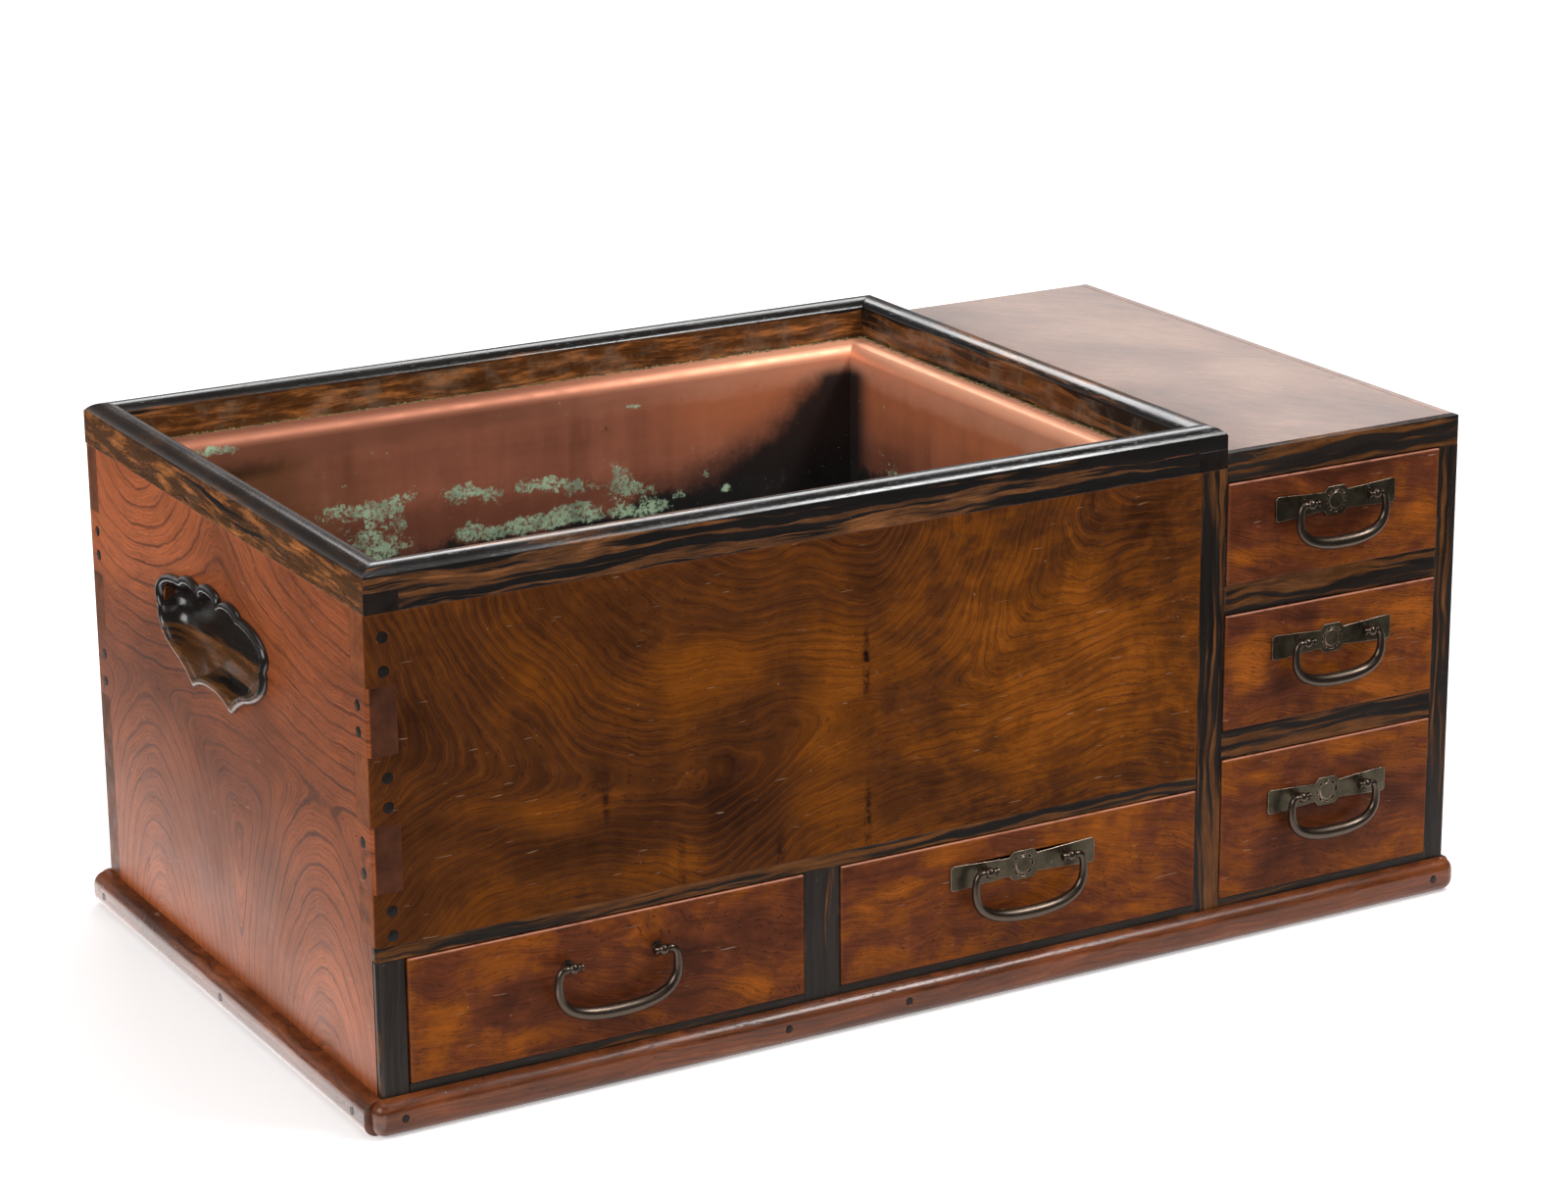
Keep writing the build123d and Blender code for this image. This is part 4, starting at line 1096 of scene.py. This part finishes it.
def arc_points(start, middle, end, count):
    """Points along the circle through three points, both ends included."""
    ax, ay, bx, by, cx, cy = *start, *middle, *end
    d = 2 * (ax * (by - cy) + bx * (cy - ay) + cx * (ay - by))
    if abs(d) < 1e-9:
        return [start.lerp(end, i / (count - 1)) for i in range(count)]
    ux = ((ax**2 + ay**2) * (by - cy) + (bx**2 + by**2) * (cy - ay) + (cx**2 + cy**2) * (ay - by)) / d
    uy = ((ax**2 + ay**2) * (cx - bx) + (bx**2 + by**2) * (ax - cx) + (cx**2 + cy**2) * (bx - ax)) / d
    centre = Vector((ux, uy))
    angles = [math.atan2(*(p - centre).yx) for p in (start, middle, end)]
    to_middle, to_end = ((angle - angles[0]) % math.tau for angle in angles[1:])
    if to_middle > to_end:
        to_end -= math.tau
    radius = (start - centre).length
    steps = (angles[0] + to_end * i / (count - 1) for i in range(count))
    return [centre + radius * Vector((math.cos(step), math.sin(step))) for step in steps]


class CHEST_OT_drawers(bpy.types.Operator):
    """Dresses the drawer fronts and boxes"""

    bl_idname = "chest.drawers"
    bl_label = "Drawers"

    def execute(self, context):
        recipes = wood_recipes()
        plain = wood(**recipes["plain"])
        edge, joint = sizes().board_edge, sizes().joint_edge
        for number, (name, figure) in enumerate(DRAWER_FIGURE.items()):
            offset = (number * 0.41 + 0.05, number * 0.23, 0)
            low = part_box(name + "_front")[0]
            spots = spots_at((offset[0] - low.x, offset[1] - low.z), *figure)
            face = wood(**{**recipes["drawer"], "name": name + "_wood", "spots": spots})
            dress_board(name + "_front", name, face, 0, 2, edge, "figured_wood", offset)
            dress_board(name + "_walls", name, plain, 1, 2, joint, "plain_wood", offset)
            dress_board(name + "_bottom", name, plain, 0, 1, joint, "plain_wood", offset)
        return {"FINISHED"}


class CHEST_OT_handles(bpy.types.Operator):
    """Finishes the bails, posts and plates"""

    bl_idname = "chest.handles"
    bl_label = "Handles"

    def execute(self, context):
        metal = bronze("handle_bronze", colours().bronze, (0.3, 0.42))
        rubbed = bronze("bail_bronze", colours().bail_bronze, (0.27, 0.31), 0.0, 0.0, 0.12)
        edge = bronze("edge_bronze", tone(colours().bail_bronze, 4.0), (0.25, 0.35), 0.3)
        kinds = (
            # ending, softened width, smoothing angle, finish
            ("_bail", 0.0, 40, rubbed),
            ("_posts", 0.00015, 50, rubbed),
            ("_plate", 0.0003, 50, metal),
        )
        for name in DRAWER_FIGURE:
            for ending, width, angle, finish in kinds:
                node = name + ending
                if node not in NODES:
                    continue
                mesh = merged_copy(node, 0.5 if width else 0.0)
                if ending == "_plate":
                    # Painted highlight: the plates' bevelled edges get a much lighter bronze, for the light
                    # line along them
                    mesh.materials.clear()
                    for each in (metal, edge):
                        mesh.materials.append(each)
                    mesh, finish = softened(mesh, width, angle, edge_material=1), None
                elif width:
                    mesh = softened(mesh, width, angle)
                else:
                    mesh.shade_smooth()
                    mesh.set_sharp_from_angle(angle=math.radians(angle))
                body = name + "_bail" if ending == "_bail" else name
                piece("dressed_" + node, mesh, body, finish, node)
        return {"FINISHED"}


class CHEST_OT_liner(bpy.types.Operator):
    """Finishes the copper fire box and the crust round its flange"""

    bl_idname = "chest.liner"
    bl_label = "Copper liner"

    def execute(self, context):
        mesh = softened(merged_copy("copper_liner"), width=0.0003, angle=50.0)
        piece("dressed_liner", mesh, "copper_liner", liner_copper(), "copper_liner")
        low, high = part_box("copper_liner")
        inset = 0.0012
        xs, ys = (low.x + inset, high.x - inset), (low.y + inset, high.y - inset)
        corners = [(xs[i], ys[j], high.z) for i, j in ((0, 0), (1, 0), (1, 1), (0, 1))]
        path = bpy.data.meshes.new("flange_edge")
        path.from_pydata(corners, [(0, 1), (1, 2), (2, 3), (3, 0)], [])
        g = Grower("crust", Finish=crust_finish(), Lump=sizes().crust_lump, Spacing=0.0018, Seed=5)
        curve = g.add("GeometryNodeMeshToCurve", {0: g.input("Geometry")})
        spacing = g.input("Spacing")
        points = g.add("GeometryNodeCurveToPoints", {"Curve": curve, "Length": spacing}, mode="LENGTH")
        jitter, spread, spin = (
            g.add("FunctionNodeRandomValue", {0: least, 1: most, "Seed": seed}, data_type="FLOAT_VECTOR")
            for least, most, seed in (
                ((-0.0012, -0.0012, -0.0006), (0.0012, 0.0012, 0.0002), g.input("Seed")),
                ((0.4, 0.4, 0.25), (1.3, 1.1, 0.75), 11),
                ((0.0, 0.0, 0.0), (0.4, 0.4, 6.28), 3),
            )
        )
        moved = g.add("GeometryNodeSetPosition", {"Geometry": points, "Offset": jitter})
        chance = g.add("ShaderNodeTexNoise", {"Scale": 45.0, "Detail": 4.0}, "Fac")
        bare = g.add("FunctionNodeCompare", {0: chance, 1: 0.5}, operation="LESS_THAN", data_type="FLOAT")
        kept = g.add("GeometryNodeDeleteGeometry", {0: moved, "Selection": bare})
        lump = g.add("GeometryNodeMeshIcoSphere", {"Radius": g.input("Lump"), "Subdivisions": 2}, "Mesh")
        scatter = {"Points": kept, "Instance": lump, "Rotation": spin, "Scale": spread}
        crust = g.grow(path, g.add("GeometryNodeInstanceOnPoints", scatter))
        piece("flange_crust", crust, "copper_liner", None)
        return {"FINISHED"}


class CHEST_OT_stage(bpy.types.Operator):
    """Sets the floor, the lamps, the world and the camera"""

    bl_idname = "chest.stage"
    bl_label = "Stage"

    def execute(self, context):
        scene = context.scene
        scene.view_settings.view_transform = "Standard"
        mesh = bpy.data.meshes.new("floor")
        mesh.from_pydata([(-8, -8, 0), (8, -8, 0), (8, 12, 0), (-8, 12, 0)], [], [(0, 1, 2, 3)])
        floor = linked("floor", mesh)
        floor.location.z = -FLOOR_GAP
        mesh.materials.append(self.floor_finish())
        self.world(scene)
        lamps = {row[0]: self.lamp(*row) for row in LAMPS}
        # Its long side stands square to the front crown, so that the streak there is broad but ends midway
        streak = lamps["streak_softbox"]
        behind = streak.rotation_quaternion @ Vector((0.0, 0.0, 1.0))
        across = Vector((0.0, behind.z, -behind.y)).cross(behind).normalized()
        turn = Matrix((across, behind.cross(across), behind)).transposed()
        streak.rotation_quaternion = turn.to_quaternion()
        self.camera(scene)
        return {"FINISHED"}

    def floor_finish(self):
        """White for the camera. Mirrors see it white near and behind the chest and dim before it."""
        f = Finish("pale_floor", Roughness=0.9, Specular_IOR_Level=0.1)
        low = CAD_BOX[0]
        x, y = f.parts(f.place())[:2]
        beside = low[0] - x
        before = f.ease(low[1] - y, 0.06, 0.34, 1.0, 0.06)
        fade = f.least(before, f.ease(beside, 0.02, 0.15, 1.0, 0.03))
        path = f.node("ShaderNodeLightPath")
        camera, mirrored = f.out(path, "Is Camera Ray"), f.out(path, "Is Glossy Ray")
        share = 1.0 - mirrored * (1.0 - fade)
        seen = f.most(camera, mirrored)
        glow = seen * share * 0.38
        # Far from the lamps the floor stays white for the camera
        glow = glow + camera * f.ease(f.length(f.join(x, y, 0.0)), 1.2, 3.5, 0.0, 0.7)
        # The bright strip of floor along the left side, which shines in that side's foot
        strip = f.ease(beside, -0.01, 0.0) * f.ease(beside, 0.02, 0.15, 1.8, 0.0)
        glow = mirrored * strip + glow
        pale = f.mix(share, grey(0.0), grey(0.82))
        return f.finish(Base_Color=pale, Emission_Color=grey(1.0), Emission_Strength=glow)

    def world(self, scene):
        """White for the camera. Mirrors see a backdrop behind the chest, dim above it and far to the left."""
        world = scene.world = bpy.data.worlds.new("studio")
        world.use_nodes = True
        world.node_tree.nodes.clear()
        w = Net(world.node_tree)
        path = w.node("ShaderNodeLightPath")
        camera, *others = (w.out(path, f"Is {kind} Ray") for kind in ("Camera", "Glossy", "Transmission"))
        x, y, z = w.parts(w.place("Generated"))
        behind = w.ease(y, -0.2, 0.35, 0.10, 1.0)
        above = w.ease(x * 0.4 + z, 0.10, 0.40, 1.0, 0.12)
        beside = w.ease(x, -0.60, -0.25, 0.35, 1.0)
        # The background colour is 0.8, so that 1.25 is white
        strength = w.most(behind * (above * beside), camera * 1.25)
        seen = w.add("ShaderNodeBackground", {"Strength": strength})
        light = w.add("ShaderNodeBackground", {"Strength": 0.42})
        both = w.add("ShaderNodeMixShader", {0: w.most(camera, *others), 1: light, 2: seen})
        w.node("ShaderNodeOutputWorld", {0: both})

    def lamp(self, name, place, target, size, power):
        light = bpy.data.lights.new(name, "AREA")
        light.shape = "RECTANGLE"
        light.size, light.size_y = size
        light.energy = power
        thing = linked(name, light)
        thing.location = place
        thing.rotation_mode = "QUATERNION"
        thing.rotation_quaternion = (Vector(target) - Vector(place)).to_track_quat("-Z", "Y")
        return thing

    def camera(self, scene):
        data = bpy.data.cameras.new("camera")
        data.sensor_width = 36.0
        data.lens = sizes().lens
        data.clip_start, data.clip_end = 0.05, 60.0
        camera = linked("camera", data)
        yaw, pitch, roll = (math.radians(angle) for angle in CAMERA_TURN)
        ahead = Vector((math.sin(yaw) * math.cos(pitch), math.cos(yaw) * math.cos(pitch), -math.sin(pitch)))
        right = Vector((math.cos(yaw), -math.sin(yaw), 0))
        up = right.cross(ahead)
        tilted_right = right * math.cos(roll) + up * math.sin(roll)
        tilted_up = up * math.cos(roll) - right * math.sin(roll)
        turn = Matrix((tilted_right, tilted_up, -ahead)).transposed().to_4x4()
        camera.matrix_world = Matrix.Translation(CAMERA_PLACE) @ turn
        scene.camera = camera


class CHEST_PT_panel(bpy.types.Panel):
    bl_idname = "CHEST_PT_panel"
    bl_label = "Brazier Chest"
    bl_space_type = "VIEW_3D"
    bl_region_type = "UI"
    bl_category = "Brazier Chest"

    def draw(self, context):
        for group in (context.scene.chest_sizes, context.scene.chest_colours):
            box = self.layout.box()
            for name in group.__annotations__:
                box.prop(group, name)
        for operator in OPERATORS:
            self.layout.operator(operator.bl_idname)


OPERATORS = (
    CHEST_OT_boards,
    CHEST_OT_rim,
    CHEST_OT_moulding,
    CHEST_OT_pegs,
    CHEST_OT_side_pull,
    CHEST_OT_drawers,
    CHEST_OT_handles,
    CHEST_OT_liner,
    CHEST_OT_stage,
)
CLASSES = (ChestSizes, ChestColours, *OPERATORS, CHEST_PT_panel)


def register():
    for each in CLASSES:
        bpy.utils.register_class(each)
    bpy.types.Scene.chest_sizes = PointerProperty(type=ChestSizes)
    bpy.types.Scene.chest_colours = PointerProperty(type=ChestColours)


def unregister():
    del bpy.types.Scene.chest_colours
    del bpy.types.Scene.chest_sizes
    for each in reversed(CLASSES):
        bpy.utils.unregister_class(each)


def main():
    register()
    for operator in OPERATORS:
        family, action = operator.bl_idname.split(".")
        getattr(getattr(bpy.ops, family), action)()


if __name__ == "__main__":
    main()
